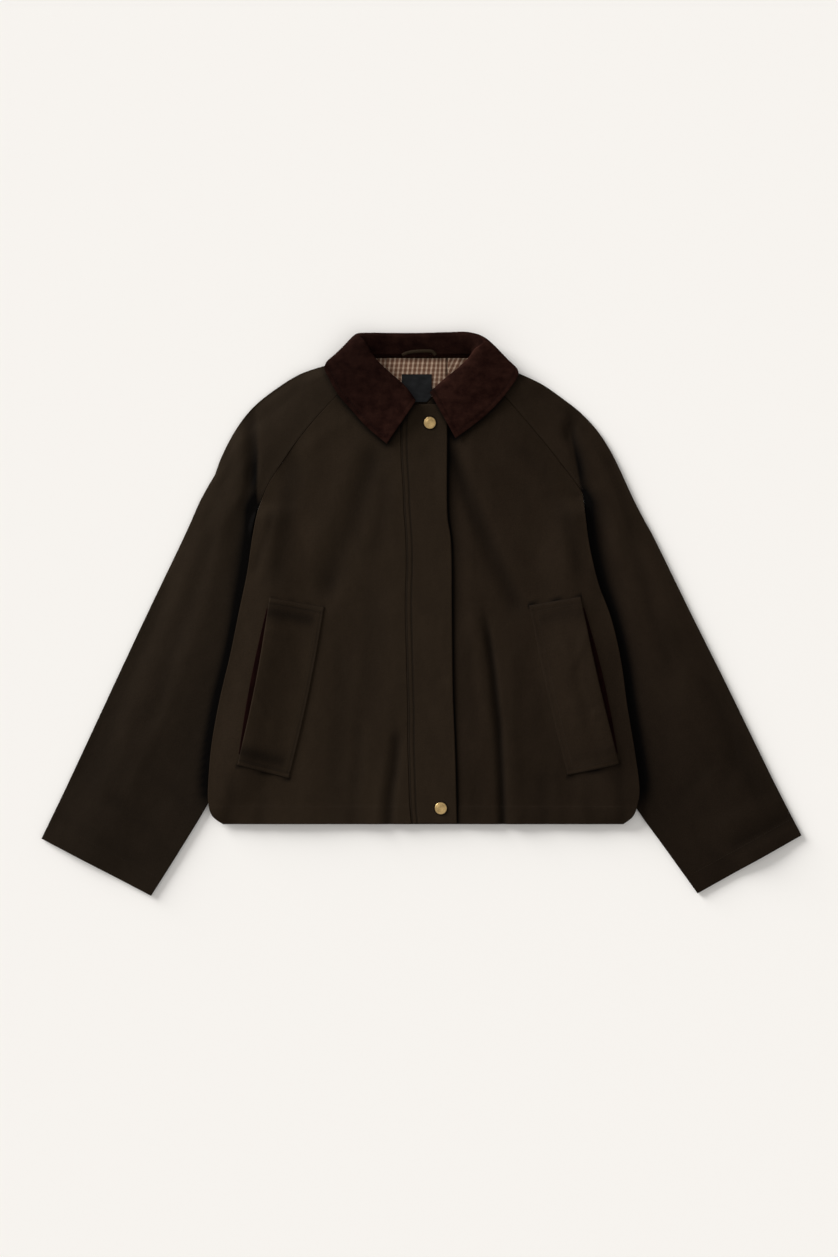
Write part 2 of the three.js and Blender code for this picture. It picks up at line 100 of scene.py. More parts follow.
sleeveFolds = {
    "right": [(-212, 248, -210, 175, 8, -2.4), (-210, 175, -219, 139, 7, -2.4),
              (-318, 20, -408, -190, 15, -1.1), (-292, 60, -372, -150, 12, 0.5),
              (-345, 20, -430, -190, 11, -0.8), (-262, 90, -330, -120, 12, -1.3),
              (-300, -60, -352, -200, 11, 0.5), (-150, 284, -200, 240, 8, -1.1),
              (-236, 190, -262, 120, 9, -1.2), (-380, -230, -340, -262, 8, -1.1),
              (-450, -250, -418, -268, 6, -1.0), (-392, -282, -352, -306, 7, -0.9),
              (-338, -190, -300, -226, 9, -1.0), (-226, 214, -250, 170, 7, 0.8)],
    "left": [(191, 251, 184, 226, 8, -2.2), (184, 226, 196, 176, 7, -2.3),
             (330, -30, 420, -215, 15, -1.6), (290, 60, 352, -70, 10, 1.0),
             (320, 46, 396, -110, 9, -1.2), (262, 90, 310, -60, 11, -1.3),
             (462, -246, 394, -285, 7, -2.2), (444, -226, 384, -258, 9, 1.0),
             (352, -190, 318, -226, 9, -1.1), (150, 276, 200, 232, 8, -1.2),
             (236, 184, 262, 118, 9, -1.1), (360, -296, 384, -312, 7, -0.9),
             (410, -120, 380, -200, 11, -1.0)],
}
# The long fold on the left front, deeper than the others and with painted shade along it, and the line of
# painted shade for the crease above each armpit
longFold = {"line": [(76, 18), (83, -28), (89, -70), (96, -140), (99, -200), (101, -262)],
            "width": 4.8, "height": -3.0, "fadeIn": 60, "shade": 0.62}
armholeCrease = {"right": [(-206, 244), (-203, 205), (-204, 160), (-205, 132)],
                 "left": [(181, 246), (184, 230), (189, 206), (194, 180), (198, 155)]}
backFolds = [(-120, 180, -60, 60, 20, 0.5), (120, 190, 60, 70, 20, 0.5),
             (-90, -40, -110, -240, 18, 0.5), (100, -20, 112, -240, 18, 0.5), (-10, 160, 8, -80, 16, 0.4)]


def smooth(value, start, end):
    # 0 before start, 1 past end, an S between them
    t = np.clip((value - start) / (end - start), 0, 1)
    return t * t * (3 - 2 * t)


def mix(a, b, share):
    # straight blend, a at share 0 and b at share 1
    return a + (b - a) * share


def curveAt(rows, places):
    # Catmull-Rom curve through the rows of a table, read at places counted in rows
    p = np.asarray(rows, float)
    last = len(p) - 1
    k = np.minimum(places.astype(int), last - 1)
    w = (places - k)[:, None]
    a, b, c, d = p[np.maximum(k - 1, 0)], p[k], p[k + 1], p[np.minimum(k + 2, last)]
    square = (2 * a - 5 * b + 4 * c - d) * w ** 2
    cube = (3 * b - a - 3 * c + d) * w ** 3
    return 0.5 * (2 * b + (c - a) * w + square + cube)


def foldDepth(folds, x, y):
    # a bell across each fold's line, fading past its two ends
    total = np.zeros_like(x)
    for x1, y1, x2, y2, width, height in folds:
        length = math.hypot(x2 - x1, y2 - y1)
        dirX, dirY = (x2 - x1) / length, (y2 - y1) / length
        along = (x - x1) * dirX + (y - y1) * dirY
        across = (x - x1) * dirY - (y - y1) * dirX + 0.12 * width * np.sin(along / (2.1 * width))
        past = np.maximum(0, np.maximum(-along, along - length))
        total += height * np.exp(-((across / width) ** 2) - (past / (1.6 * width)) ** 2)
    return total


def ripple(x, y):
    # slow uneven swell of laid cloth, from four crossing waves
    return (0.22 * np.sin(x / 23 + y / 61 + 1.3) + 0.18 * np.sin(x / 41 - y / 29 + 0.4)
            + 0.12 * np.sin(x / 13 + y / 17 + 2.2) * np.sin(y / 37) + 0.10 * np.sin(x / 9.5 - y / 21))


# Rows of every panel, counted in sections and closer together at the two ends
endSteps = np.array([0, 0.008, 0.02, 0.04, 0.07, 0.11, 0.17])
yokeSections, lowerSections = fineness["yokeSections"], fineness["lowerSections"]
sections = yokeSections + lowerSections
evenRows = np.linspace(0.26, sections - 0.26, sections * fineness["rowsPerSection"])
rowPlaces = np.concatenate([endSteps, evenRows, sections - endSteps[::-1]])


def longEdge(upper, upperColumns, lower, lowerColumns):
    # an edge that follows the yoke table and then the lower one
    top = curveAt([[row[k] for k in upperColumns] for row in upper],
                  np.clip(rowPlaces, 0, yokeSections) * (len(upper) - 1) / yokeSections)
    low = curveAt([[row[k] for k in lowerColumns] for row in lower],
                  np.clip(rowPlaces - yokeSections, 0, lowerSections) * (len(lower) - 1) / lowerSections)
    return np.where((rowPlaces <= yokeSections)[:, None], top, low)


edges = {}
for side in ("right", "left"):
    edges[side] = {
        "over": longEdge(yoke[side], (0, 1), arm[side], (0, 1)),
        "sleeveSeam": longEdge(yoke[side], (2, 3), arm[side], (2, 3)),
        "bodySeam": longEdge(yoke[side], (2, 3), torso[side], (0, 1)),
        "front": longEdge(yoke[side], (4, 5), torso[side], (2, 3)),
        "under": curveAt([row[2:] for row in arm[side]], np.linspace(0, len(arm[side]) - 1, 200)),
    }


def edgeX(points, y):
    # x of an edge at each y, in straight steps between its points
    return np.interp(-y, -points[:, 1], points[:, 0])


def collarLift(x, y):
    # the cloth climbs onto the collar's fall in an S, later towards the shoulders
    spread = neckLay["spread"] * x * x
    return neckLay["lift"] * smooth(y, neckLay["start"] + spread, neckLay["end"] + spread)


def backHeight(x, y):
    # flat on the table, up over the sleeve below the armpit, up over the collar's fall at the neck
    reach = np.where(x < 0, -edgeX(edges["right"]["under"], y), edgeX(edges["left"]["under"], y))
    armpit = np.where(x < 0, edges["right"]["under"][0, 1], edges["left"]["under"][0, 1])
    over = smooth(armpit - y, sideLay["firstBelow"], sideLay["fullBelow"])
    over = over * smooth(np.abs(x) - reach, sideLay["start"], sideLay["end"])
    return collarLift(x, y) + sideLay["lift"] * over


def seamPuff(row):
    # share of the cloth's height left at a seam: all of it at the neck, little from the armpit down
    return 1 - 0.92 * np.minimum(1, row / yokeSections) ** 3


# Columns beside each edge of a panel, by their distance from it
edgeSteps = np.array([0, 0.25, 0.6, 1.1, 1.8, 3.0])


def planGrid(edgeA, edgeB, columnCount, rows=rowPlaces, steps=edgeSteps):
    # points between two edges: columns a few tenths apart at the edges, even between them
    span = np.linalg.norm(edgeB - edgeA, axis=1)[:, None]
    inset = cloth["seamGap"] / span
    near = inset + np.minimum(steps / span, 0.2)
    inner = near[:, -1:] + (1 - 2 * near[:, -1:]) * np.linspace(0, 1, columnCount + 2)[None, 1:-1]
    share = np.concatenate([near, inner, 1 - near[:, ::-1]], axis=1)
    points = edgeA[:, None, :] + (edgeB - edgeA)[:, None, :] * share[:, :, None]
    row = np.repeat(rows[:, None], share.shape[1], 1)
    return {"x": points[..., 0], "y": points[..., 1], "share": share, "row": row}


def edgeDistance(x, y):
    # how far each grid point is from the nearest edge of its grid, along the grid's lines
    acrossStep = np.hypot(np.diff(x, axis=1), np.diff(y, axis=1))
    downStep = np.hypot(np.diff(x, axis=0), np.diff(y, axis=0))
    across = np.pad(np.cumsum(acrossStep, 1), ((0, 0), (1, 0)))
    down = np.pad(np.cumsum(downStep, 0), ((1, 0), (0, 0)))
    return np.minimum(np.minimum(across, across[:, -1:] - across), np.minimum(down, down[-1:] - down))


def rounding(distance, radius):
    # quarter circle that drops by radius at the very edge
    gone = np.clip(radius - distance, 0, radius)
    return radius - np.sqrt(radius ** 2 - gone ** 2)


def wallMesh(name, lower, upper, uv, material, shade=None):
    # closed wall between two grids of points (rows, columns, xyz), faces outward
    rows, columns = lower.shape[:2]
    points = np.concatenate([lower.reshape(-1, 3), upper.reshape(-1, 3)]) * toMetres
    index = np.arange(rows * columns).reshape(rows, columns)
    top = rows * columns
    a, b, c, d = index[:-1, :-1], index[:-1, 1:], index[1:, 1:], index[1:, :-1]
    low = np.stack([a, b, c, d], -1).reshape(-1, 4)
    rim = np.concatenate([index[0, :-1], index[:-1, -1], index[-1, :0:-1], index[:0:-1, 0]])
    nextRim = np.roll(rim, -1)
    faces = np.concatenate([low, low[:, ::-1] + top, np.stack([rim, rim + top, nextRim + top, nextRim], -1)])
    corner = points[faces]
    flow = np.cross(corner[:, 2] - corner[:, 0], corner[:, 3] - corner[:, 1])
    if (flow * corner.mean(1)).sum() < 0:
        faces = faces[:, ::-1]
    mesh = bpy.data.meshes.new(name)
    mesh.vertices.add(len(points))
    mesh.vertices.foreach_set("co", points.ravel())
    mesh.loops.add(faces.size)
    mesh.loops.foreach_set("vertex_index", faces.ravel().astype(np.int32))
    mesh.polygons.add(len(faces))
    mesh.polygons.foreach_set("loop_start", np.arange(0, faces.size, 4, dtype=np.int32))
    mesh.polygons.foreach_set("use_smooth", np.ones(len(faces), bool))
    layer = mesh.uv_layers.new(name="cloth")
    flat = np.concatenate([uv.reshape(-1, 2)] * 2) * toMetres
    layer.data.foreach_set("uv", flat[faces.ravel()].ravel())
    if shade is not None:
        # painted shade and painted shadow kept as a layer on every point of the piece
        wearAndShade = mesh.attributes.new("shade", "FLOAT", "POINT")
        wearAndShade.data.foreach_set("value", np.tile(np.clip(shade, 0, 0.97).ravel(), 2).astype(np.float32))
    mesh.update()
    mesh.validate()
    piece = bpy.data.objects.new(name, mesh)
    bpy.context.collection.objects.link(piece)
    mesh.materials.append(material)
    return piece


def panel(name, grid, lowerZ, thickness, material, uv=None, roundUp=None, roundDown=0.0, shade=None):
    # a panel of cloth standing straight up from its lower face, its edges rounded off
    x, y = grid["x"], grid["y"]
    distance = edgeDistance(x, y)
    roundUp = cloth["edgeRound"] if roundUp is None else roundUp
    upperZ = lowerZ + thickness - (rounding(distance, roundUp) if roundUp else 0)
    bottomZ = lowerZ + (rounding(distance, roundDown) if roundDown else 0)
    uv = np.stack([x, y], -1) if uv is None else uv
    piece = wallMesh(name, np.stack([x, y, bottomZ], -1), np.stack([x, y, upperZ], -1), uv, material, shade)
    return piece, np.stack([x, y, upperZ], -1).reshape(-1, 3)


def lineDistance(x, y, line):
    # how far each place is from a line of plan points
    places = np.stack([x.ravel(), y.ravel()], -1)
    nearest = np.full(len(places), np.inf)
    for a, b in zip(line[:-1], line[1:]):
        span = b - a
        share = np.clip(((places - a) @ span) / (span @ span), 0, 1)
        nearest = np.minimum(nearest, np.hypot(*(places - a - share[:, None] * span).T))
    return nearest.reshape(x.shape)


def bell(distance, width):
    # 1 at no distance, about a third at one width, next to nothing at two
    return np.exp(-((distance / width) ** 2))


def restZ(surface, x, y, nearest=4):
    # height of a surface's points near each place, weighted by closeness
    places = np.stack([np.ravel(x), np.ravel(y)], -1)
    low, high = places.min(0) - 6, places.max(0) + 6
    close = surface[((surface[:, :2] > low) & (surface[:, :2] < high)).all(1)]
    heights = np.empty(len(places))
    for start in range(0, len(places), 2000):
        part = places[start:start + 2000]
        away = ((part[:, None, :] - close[None, :, :2]) ** 2).sum(-1)
        pick = np.argpartition(away, nearest, axis=1)[:, :nearest]
        weight = 1 / (np.take_along_axis(away, pick, 1) + 0.05)
        heights[start:start + 2000] = (close[pick, 2] * weight).sum(1) / weight.sum(1)
    return heights.reshape(np.shape(x))


def newMaterial(name):
    material = bpy.data.materials.new(name)
    material.use_nodes = True
    nodes = material.node_tree.nodes
    return material, nodes, material.node_tree.links, nodes["Principled BSDF"]


def noiseNode(nodes, links, coords, scale, detail=4.0, rough=0.55, stretch=None):
    # noise in turns per metre, stretched along one way when asked
    if stretch:
        mapping = nodes.new("ShaderNodeMapping")
        mapping.inputs["Scale"].default_value = stretch
        links.new(coords, mapping.inputs["Vector"])
        coords = mapping.outputs["Vector"]
    noise = nodes.new("ShaderNodeTexNoise")
    noise.inputs["Scale"].default_value = scale
    noise.inputs["Detail"].default_value = detail
    noise.inputs["Roughness"].default_value = rough
    links.new(coords, noise.inputs["Vector"])
    return noise.outputs["Fac"]


def rampNode(nodes, links, value, stops):
    ramp = nodes.new("ShaderNodeValToRGB")
    elements = ramp.color_ramp.elements
    while len(elements) < len(stops):
        elements.new(0.5)
    for element, (place, color) in zip(elements, stops):
        element.position = place
        element.color = (*color, 1)
    links.new(value, ramp.inputs["Fac"])
    return ramp.outputs["Color"]


def mathNode(nodes, links, operation, a, b=None, c=None, clamp=False):
    node = nodes.new("ShaderNodeMath")
    node.operation = operation
    node.use_clamp = clamp
    for socket, value in zip(node.inputs, (a, b, c)):
        if value is None:
            continue
        if isinstance(value, (int, float)):
            socket.default_value = value
        else:
            links.new(value, socket)
    return node.outputs[0]


def mixColor(nodes, links, factor, a, b, blend="MIX"):
    node = nodes.new("ShaderNodeMix")
    node.data_type = "RGBA"
    node.blend_type = blend
    for socket, value in ((node.inputs["Factor"], factor), (node.inputs["A"], a), (node.inputs["B"], b)):
        if isinstance(value, (int, float)):
            socket.default_value = value
        elif isinstance(value, tuple):
            socket.default_value = (*value, 1)
        else:
            links.new(value, socket)
    return node.outputs["Result"]


def bumpNode(nodes, links, height, distance, strength, normal=None):
    bump = nodes.new("ShaderNodeBump")
    bump.inputs["Distance"].default_value = distance
    bump.inputs["Strength"].default_value = strength
    links.new(height, bump.inputs["Height"])
    if normal is not None:
        links.new(normal, bump.inputs["Normal"])
    return bump.outputs["Normal"]


def threadWave(nodes, links, coords, axis, pitch):
    # ridges of thread across one axis of the cloth's own map, pitch in metres
    separate = nodes.new("ShaderNodeSeparateXYZ")
    links.new(coords, separate.inputs["Vector"])
    turns = mathNode(nodes, links, "MULTIPLY", separate.outputs[axis], 2 * math.pi / pitch)
    return mathNode(nodes, links, "SINE", turns)


def shadeNode(nodes):
    # painted shade stored on the piece: darkening in its creases, along covered edges and under the parts
    # that lie on it, with a few areas plainly darker and dark wax on the welts
    shade = nodes.new("ShaderNodeAttribute")
    shade.attribute_name = "shade"
    return shade.outputs["Fac"]


def canvasMaterial(name, deep, mid, wearAndShade, threadPitch=0.0009):
    # waxed canvas: mottled brown, fine crossed threads, rubbed lighter streaks, a dull waxy gloss
    material, nodes, links, shader = newMaterial(name)
    coords = nodes.new("ShaderNodeUVMap").outputs["UV"]
    cloudy = noiseNode(nodes, links, coords, 16, 5, 0.6)
    streak = noiseNode(nodes, links, coords, 60, 6, 0.7, (1.0, 0.35, 1.0))
    speck = noiseNode(nodes, links, coords, 900, 2, 0.6)
    base = rampNode(nodes, links, cloudy, [(0.30, deep), (0.52, mid), (0.74, wearAndShade)])
    rubbed = rampNode(nodes, links, streak, [(0.36, (0.94, 0.94, 0.94)), (0.68, (1.08, 1.08, 1.08))])
    base = mixColor(nodes, links, 1.0, base, rubbed, "MULTIPLY")
    grain = rampNode(nodes, links, speck, [(0.3, (0.72, 0.72, 0.72)), (0.7, (1.30, 1.30, 1.30))])
    base = mixColor(nodes, links, 1.0, base, grain, "MULTIPLY")
    # the piece's painted shade laid over the canvas colour
    base = mixColor(nodes, links, shadeNode(nodes), base, (0.0006, 0.0004, 0.0003))
    links.new(base, shader.inputs["Base Color"])
    links.new(mathNode(nodes, links, "MULTIPLY_ADD", streak, -0.22, 0.80), shader.inputs["Roughness"])
    shader.inputs["Specular IOR Level"].default_value = 0.03
    threads = mathNode(nodes, links, "MULTIPLY", threadWave(nodes, links, coords, "X", threadPitch),
                       threadWave(nodes, links, coords, "Y", threadPitch))
    weave = bumpNode(nodes, links, threads, 0.00012, 0.55)
    crease = noiseNode(nodes, links, coords, 75, 7, 0.62)
    links.new(bumpNode(nodes, links, crease, 0.0011, 0.42, weave), shader.inputs["Normal"])
    return material


def corduroyMaterial(name, groove, pile, rubbed, pitch=0.0015):
    # corduroy: rounded wales with painted shade in the grooves between them, and a mottled red-brown pile
    material, nodes, links, shader = newMaterial(name)
    coords = nodes.new("ShaderNodeUVMap").outputs["UV"]
    wobble = noiseNode(nodes, links, coords, 30, 2, 0.5)
    separate = nodes.new("ShaderNodeSeparateXYZ")
    links.new(coords, separate.inputs["Vector"])
    turns = mathNode(nodes, links, "MULTIPLY", separate.outputs["Y"], 2 * math.pi / pitch)
    turns = mathNode(nodes, links, "ADD", turns, mathNode(nodes, links, "MULTIPLY", wobble, 3.0))
    wale = mathNode(nodes, links, "MULTIPLY_ADD", mathNode(nodes, links, "SINE", turns), 0.5, 0.5)
    mottled = noiseNode(nodes, links, coords, 70, 6, 0.68)
    pileColor = rampNode(nodes, links, mottled, [(0.36, pile), (0.66, rubbed)])
    shade = rampNode(nodes, links, wale, [(0.05, groove), (0.55, (1, 1, 1))])
    base = mixColor(nodes, links, 1.0, pileColor, shade, "MULTIPLY")
    # the piece's painted shade laid over the pile colour
    base = mixColor(nodes, links, shadeNode(nodes), base, (0.0006, 0.0002, 0.0002))
    links.new(base, shader.inputs["Base Color"])
    shader.inputs["Roughness"].default_value = 0.88
    shader.inputs["Specular IOR Level"].default_value = 0.02
    ridges = bumpNode(nodes, links, wale, 0.0004, 0.6)
    fuzz = noiseNode(nodes, links, coords, 1500, 2, 0.6)
    links.new(bumpNode(nodes, links, fuzz, 0.0002, 0.4, ridges), shader.inputs["Normal"])
    return material


def checkMaterial(name, cream, stripe, cross, pitch=0.0058, threadPitch=0.0005):
    # small check: broad stripes down and fainter ones across, darkest where they meet
    material, nodes, links, shader = newMaterial(name)
    coords = nodes.new("ShaderNodeUVMap").outputs["UV"]
    bands = []
    for axis, weight in (("X", 0.66), ("Y", 0.34)):
        wave = threadWave(nodes, links, coords, axis, pitch)
        band = mathNode(nodes, links, "MULTIPLY_ADD", wave, 2.2, 1.1, clamp=True)
        bands.append(mathNode(nodes, links, "MULTIPLY", band, weight))
    both = mathNode(nodes, links, "ADD", *bands)
    base = rampNode(nodes, links, both, [(0.02, cream), (0.6, stripe), (0.98, cross)])
    soft = rampNode(nodes, links, noiseNode(nodes, links, coords, 700, 3, 0.6),
                    [(0.3, (0.8, 0.8, 0.8)), (0.7, (1.15, 1.15, 1.15))])
    base = mixColor(nodes, links, 1.0, base, soft, "MULTIPLY")
    # the piece's painted shade laid over the check
    base = mixColor(nodes, links, shadeNode(nodes), base, (0.003, 0.002, 0.0015))
    links.new(base, shader.inputs["Base Color"])
    shader.inputs["Roughness"].default_value = 0.9
    shader.inputs["Specular IOR Level"].default_value = 0.05
    threads = mathNode(nodes, links, "MULTIPLY", threadWave(nodes, links, coords, "X", threadPitch),
                       threadWave(nodes, links, coords, "Y", threadPitch))
    links.new(bumpNode(nodes, links, threads, 0.0001, 0.4), shader.inputs["Normal"])
    return material


def plainMaterial(name, dark, light, scale, roughness, metallic=0.0, stretch=None, bump=0.0001):
    # a finish that only varies with a fine grain: thread, satin, brass
    material, nodes, links, shader = newMaterial(name)
    coords = nodes.new("ShaderNodeTexCoord").outputs["Object"]
    grain = noiseNode(nodes, links, coords, scale, 4, 0.6, stretch)
    links.new(rampNode(nodes, links, grain, [(0.3, dark), (0.7, light)]), shader.inputs["Base Color"])
    shader.inputs["Roughness"].default_value = roughness
    shader.inputs["Metallic"].default_value = metallic
    shader.inputs["Specular IOR Level"].default_value = 0.5 if metallic else 0.06
    links.new(bumpNode(nodes, links, grain, bump, 0.4), shader.inputs["Normal"])
    return material


# Canvas from its darkest to its most worn tone; the left pieces take a darker copy, painted shade for the
# side away from the light
canvases = {
    "right": canvasMaterial("bodyCanvasRightLit", (0.0172, 0.0111, 0.0063), (0.0186, 0.0120, 0.0068),
                            (0.0202, 0.0131, 0.0075)),
    "left": canvasMaterial("bodyCanvasLeftShaded", (0.0140, 0.0087, 0.0048), (0.0152, 0.0095, 0.0053),
                           (0.0168, 0.0106, 0.0060)),
}
# The sleeves' canvas the same way, its left copy darker as painted shade
sleeveCanvases = {
    "right": canvasMaterial("sleeveCanvasRightLit", (0.0178, 0.0118, 0.0070), (0.0194, 0.0129, 0.0077),
                            (0.0212, 0.0142, 0.0086)),
    "left": canvasMaterial("sleeveCanvasLeftShaded", (0.0148, 0.0092, 0.0052), (0.0160, 0.0100, 0.0057),
                           (0.0176, 0.0112, 0.0064)),
}
corduroy = corduroyMaterial("collarCorduroy", (0.45, 0.42, 0.40), (0.0135, 0.0044, 0.0032),
                            (0.0320, 0.0122, 0.0084))
# the pocket facing takes a darker copy of the collar's corduroy, painted shade for the inside of the pocket
# mouth
shadedFacingCorduroy = corduroyMaterial("shadedFacingCorduroy", (0.4, 0.35, 0.3), (0.0055, 0.0014, 0.0012),
                                  (0.0095, 0.0024, 0.0020))
checkLining = checkMaterial("checkLining", (0.39, 0.282, 0.206), (0.19, 0.115, 0.076), (0.115, 0.056, 0.035))
labelSatin = plainMaterial("labelSatin", (0.0066, 0.0068, 0.0073), (0.0145, 0.0150, 0.0158), 60, 0.42,
                           stretch=(1, 2, 1))
snapBrass = plainMaterial("snapBrass", (0.47, 0.315, 0.130), (0.66, 0.465, 0.215), 500, 0.36,
                          metallic=1.0, bump=0.00003)
thread = plainMaterial("brownThread", (0.0100, 0.0066, 0.0040), (0.0280, 0.0195, 0.0125), 1500, 0.8)
collarThread = plainMaterial("collarThread", (0.0100, 0.0040, 0.0030), (0.0180, 0.0078, 0.0056), 1500, 0.8)
print("materials made")

surfaces = {}


def keep(name, piece):
    # the piece takes the place of the plain solid of that name
    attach(piece, "root")
    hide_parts(name)


backPanel = {"columns": 150, "neckRise": 8, "neckSections": 2, "roundDown": 1.2}
backGrid = planGrid(edges["right"]["bodySeam"], edges["left"]["bodySeam"], backPanel["columns"])
backGrid["y"] = backGrid["y"] + (backPanel["neckRise"] * (1 - (2 * backGrid["share"] - 1) ** 6)
                                 * np.maximum(0, 1 - backGrid["row"] / backPanel["neckSections"]))
backZ = backHeight(backGrid["x"], backGrid["y"])
backZ = backZ + np.maximum(0, foldDepth(backFolds, backGrid["x"], backGrid["y"]))
piece, _ = panel("backPanel", backGrid, backZ, cloth["wall"], canvases["right"],
                 roundDown=backPanel["roundDown"])
keep("back", piece)

pockets = {
    "right": {"top": [(-188, 22), (-120, 10)], "bottom": [(-228, -186), (-164, -203)], "bow": 3, "out": -1,
              "waxed": 1.0, "headShade": 0.3},
    "left": {"top": [(197, 23), (133, 12)], "bottom": [(245, -185), (181, -199)], "bow": -2, "out": 1,
             "waxed": 0.4, "headShade": 0.9},
    "mouth": 6.6, "under": 4.0, "long": 212, "wide": 66, "rows": 150, "rowPitch": 1.4, "columns": 44,
    "facingColumns": 8, "lift": 2.6, "wall": 1.6, "facingWall": 1.0, "roundUp": 1.2, "facingRoundUp": 0.6,
}
placketEdge = [(32, 261), (32, 226), (32, 130), (37, 86), (38, -6), (39, -93), (42, -174), (44, -259)]
placketEdge = curveAt(placketEdge, np.linspace(0, len(placketEdge) - 1, 240))
# The collar leaves' outer edges, where painted shadow darkens the cloth below them
leafEdges = {
    "right": np.array([(-8, 264), (-43, 212), (-68, 233), (-86, 253), (-104, 274), (-115, 294), (-120, 305)],
                      float),
    "left": np.array([(11, 274), (42, 219), (60, 232), (80, 248), (97, 265), (112, 284), (120, 297)], float),
}
frontPanel = {"edgeFrom": 36, "edgeTo": 66, "leftEdgeShare": 0.1, "pinchFrom": 0.84, "hemTop": 237,
              "hemStep": 0.5, "foldShade": 0.48, "lowLeftShade": 0.16}
for side in ("right", "left"):
    grid = planGrid(edges[side]["front"], edges[side]["bodySeam"], fineness["columns"])
    x, y, row, share = grid["x"], grid["y"], grid["row"], grid["share"]
    edgeShare = 1.0
    longShade = 0
    if side == "left":
        fromPlacket = smooth(x, frontPanel["edgeFrom"], frontPanel["edgeTo"])
        edgeShare = mix(frontPanel["leftEdgeShare"], 1, fromPlacket)
        longShade = bell(lineDistance(x, y, np.array(longFold["line"], float)), longFold["width"])
        longShade = longShade * smooth(longFold["line"][0][1] - y, 0, longFold["fadeIn"])
    pinch = smooth(share, frontPanel["pinchFrom"], 1)
    puff = cloth["bodyPuff"] * edgeShare * (1 - pinch * (1 - seamPuff(row)))
    folds = foldDepth(bodyFolds[side], x, y)
    relief = folds + ripple(x, y) + longFold["height"] * longShade
    airy = np.maximum(0.05, puff + relief * edgeShare)
    lowerZ = backHeight(x, y) + cloth["wall"] + cloth["clear"] + airy
    # the hem is turned up inside, so it stands a little proud below its stitch line
    hemStep = frontPanel["hemStep"] * smooth(-y, frontPanel["hemTop"] - 1.2, frontPanel["hemTop"] + 1.2)
    # painted shade in the folds, painted shadow under the leaf's edge and round the ends of the welt
    weltHead, weltFoot = (np.array(pockets[side][end], float) for end in ("top", "bottom"))
    shade = frontPanel["foldShade"] * np.clip(-folds / 3, 0, 1) + longFold["shade"] * longShade
    shade = shade + 0.85 * bell(lineDistance(x, y, leafEdges[side]), 4.6)
    shade = shade + 0.75 * bell(lineDistance(x, y, weltFoot), 1.8)
    shade = shade + pockets[side]["headShade"] * bell(lineDistance(x, y, weltHead), 1.6)
    if side == "left":
        # and darker low down, with painted shadow beside the placket's free edge
        past = x - edgeX(placketEdge, y)
        shade = shade + frontPanel["lowLeftShade"] * smooth(-y, 0, 160) * smooth(x, 60, 160)
        shade = shade + 0.85 * bell(past, 2.6) + 0.4 * bell(past, 11) * (0.5 + 0.5 * smooth(y, -120, 160))
    piece, surfaces["front" + side] = panel(
        "front" + side.capitalize(), grid, lowerZ, cloth["wall"] + hemStep, canvases[side],
        roundUp=cloth["sewnEdgeRound"], shade=shade)
    keep("front_" + side, piece)
print("body panels made")

sleevePanel = {"crownFrom": -0.08, "crownTo": 0.32, "foldShade": 0.24, "cuffShade": 0.34, "creaseShade": 0.78,
               "contact": {"right": (7.5, 14), "left": (10, 14)}, "backColumns": 30}


def turned(x, y, angle):
    # plan places seen along axes turned by the angle
    cos, sin = math.cos(angle), math.sin(angle)
    return np.stack([x * cos + y * sin, y * cos - x * sin], -1)


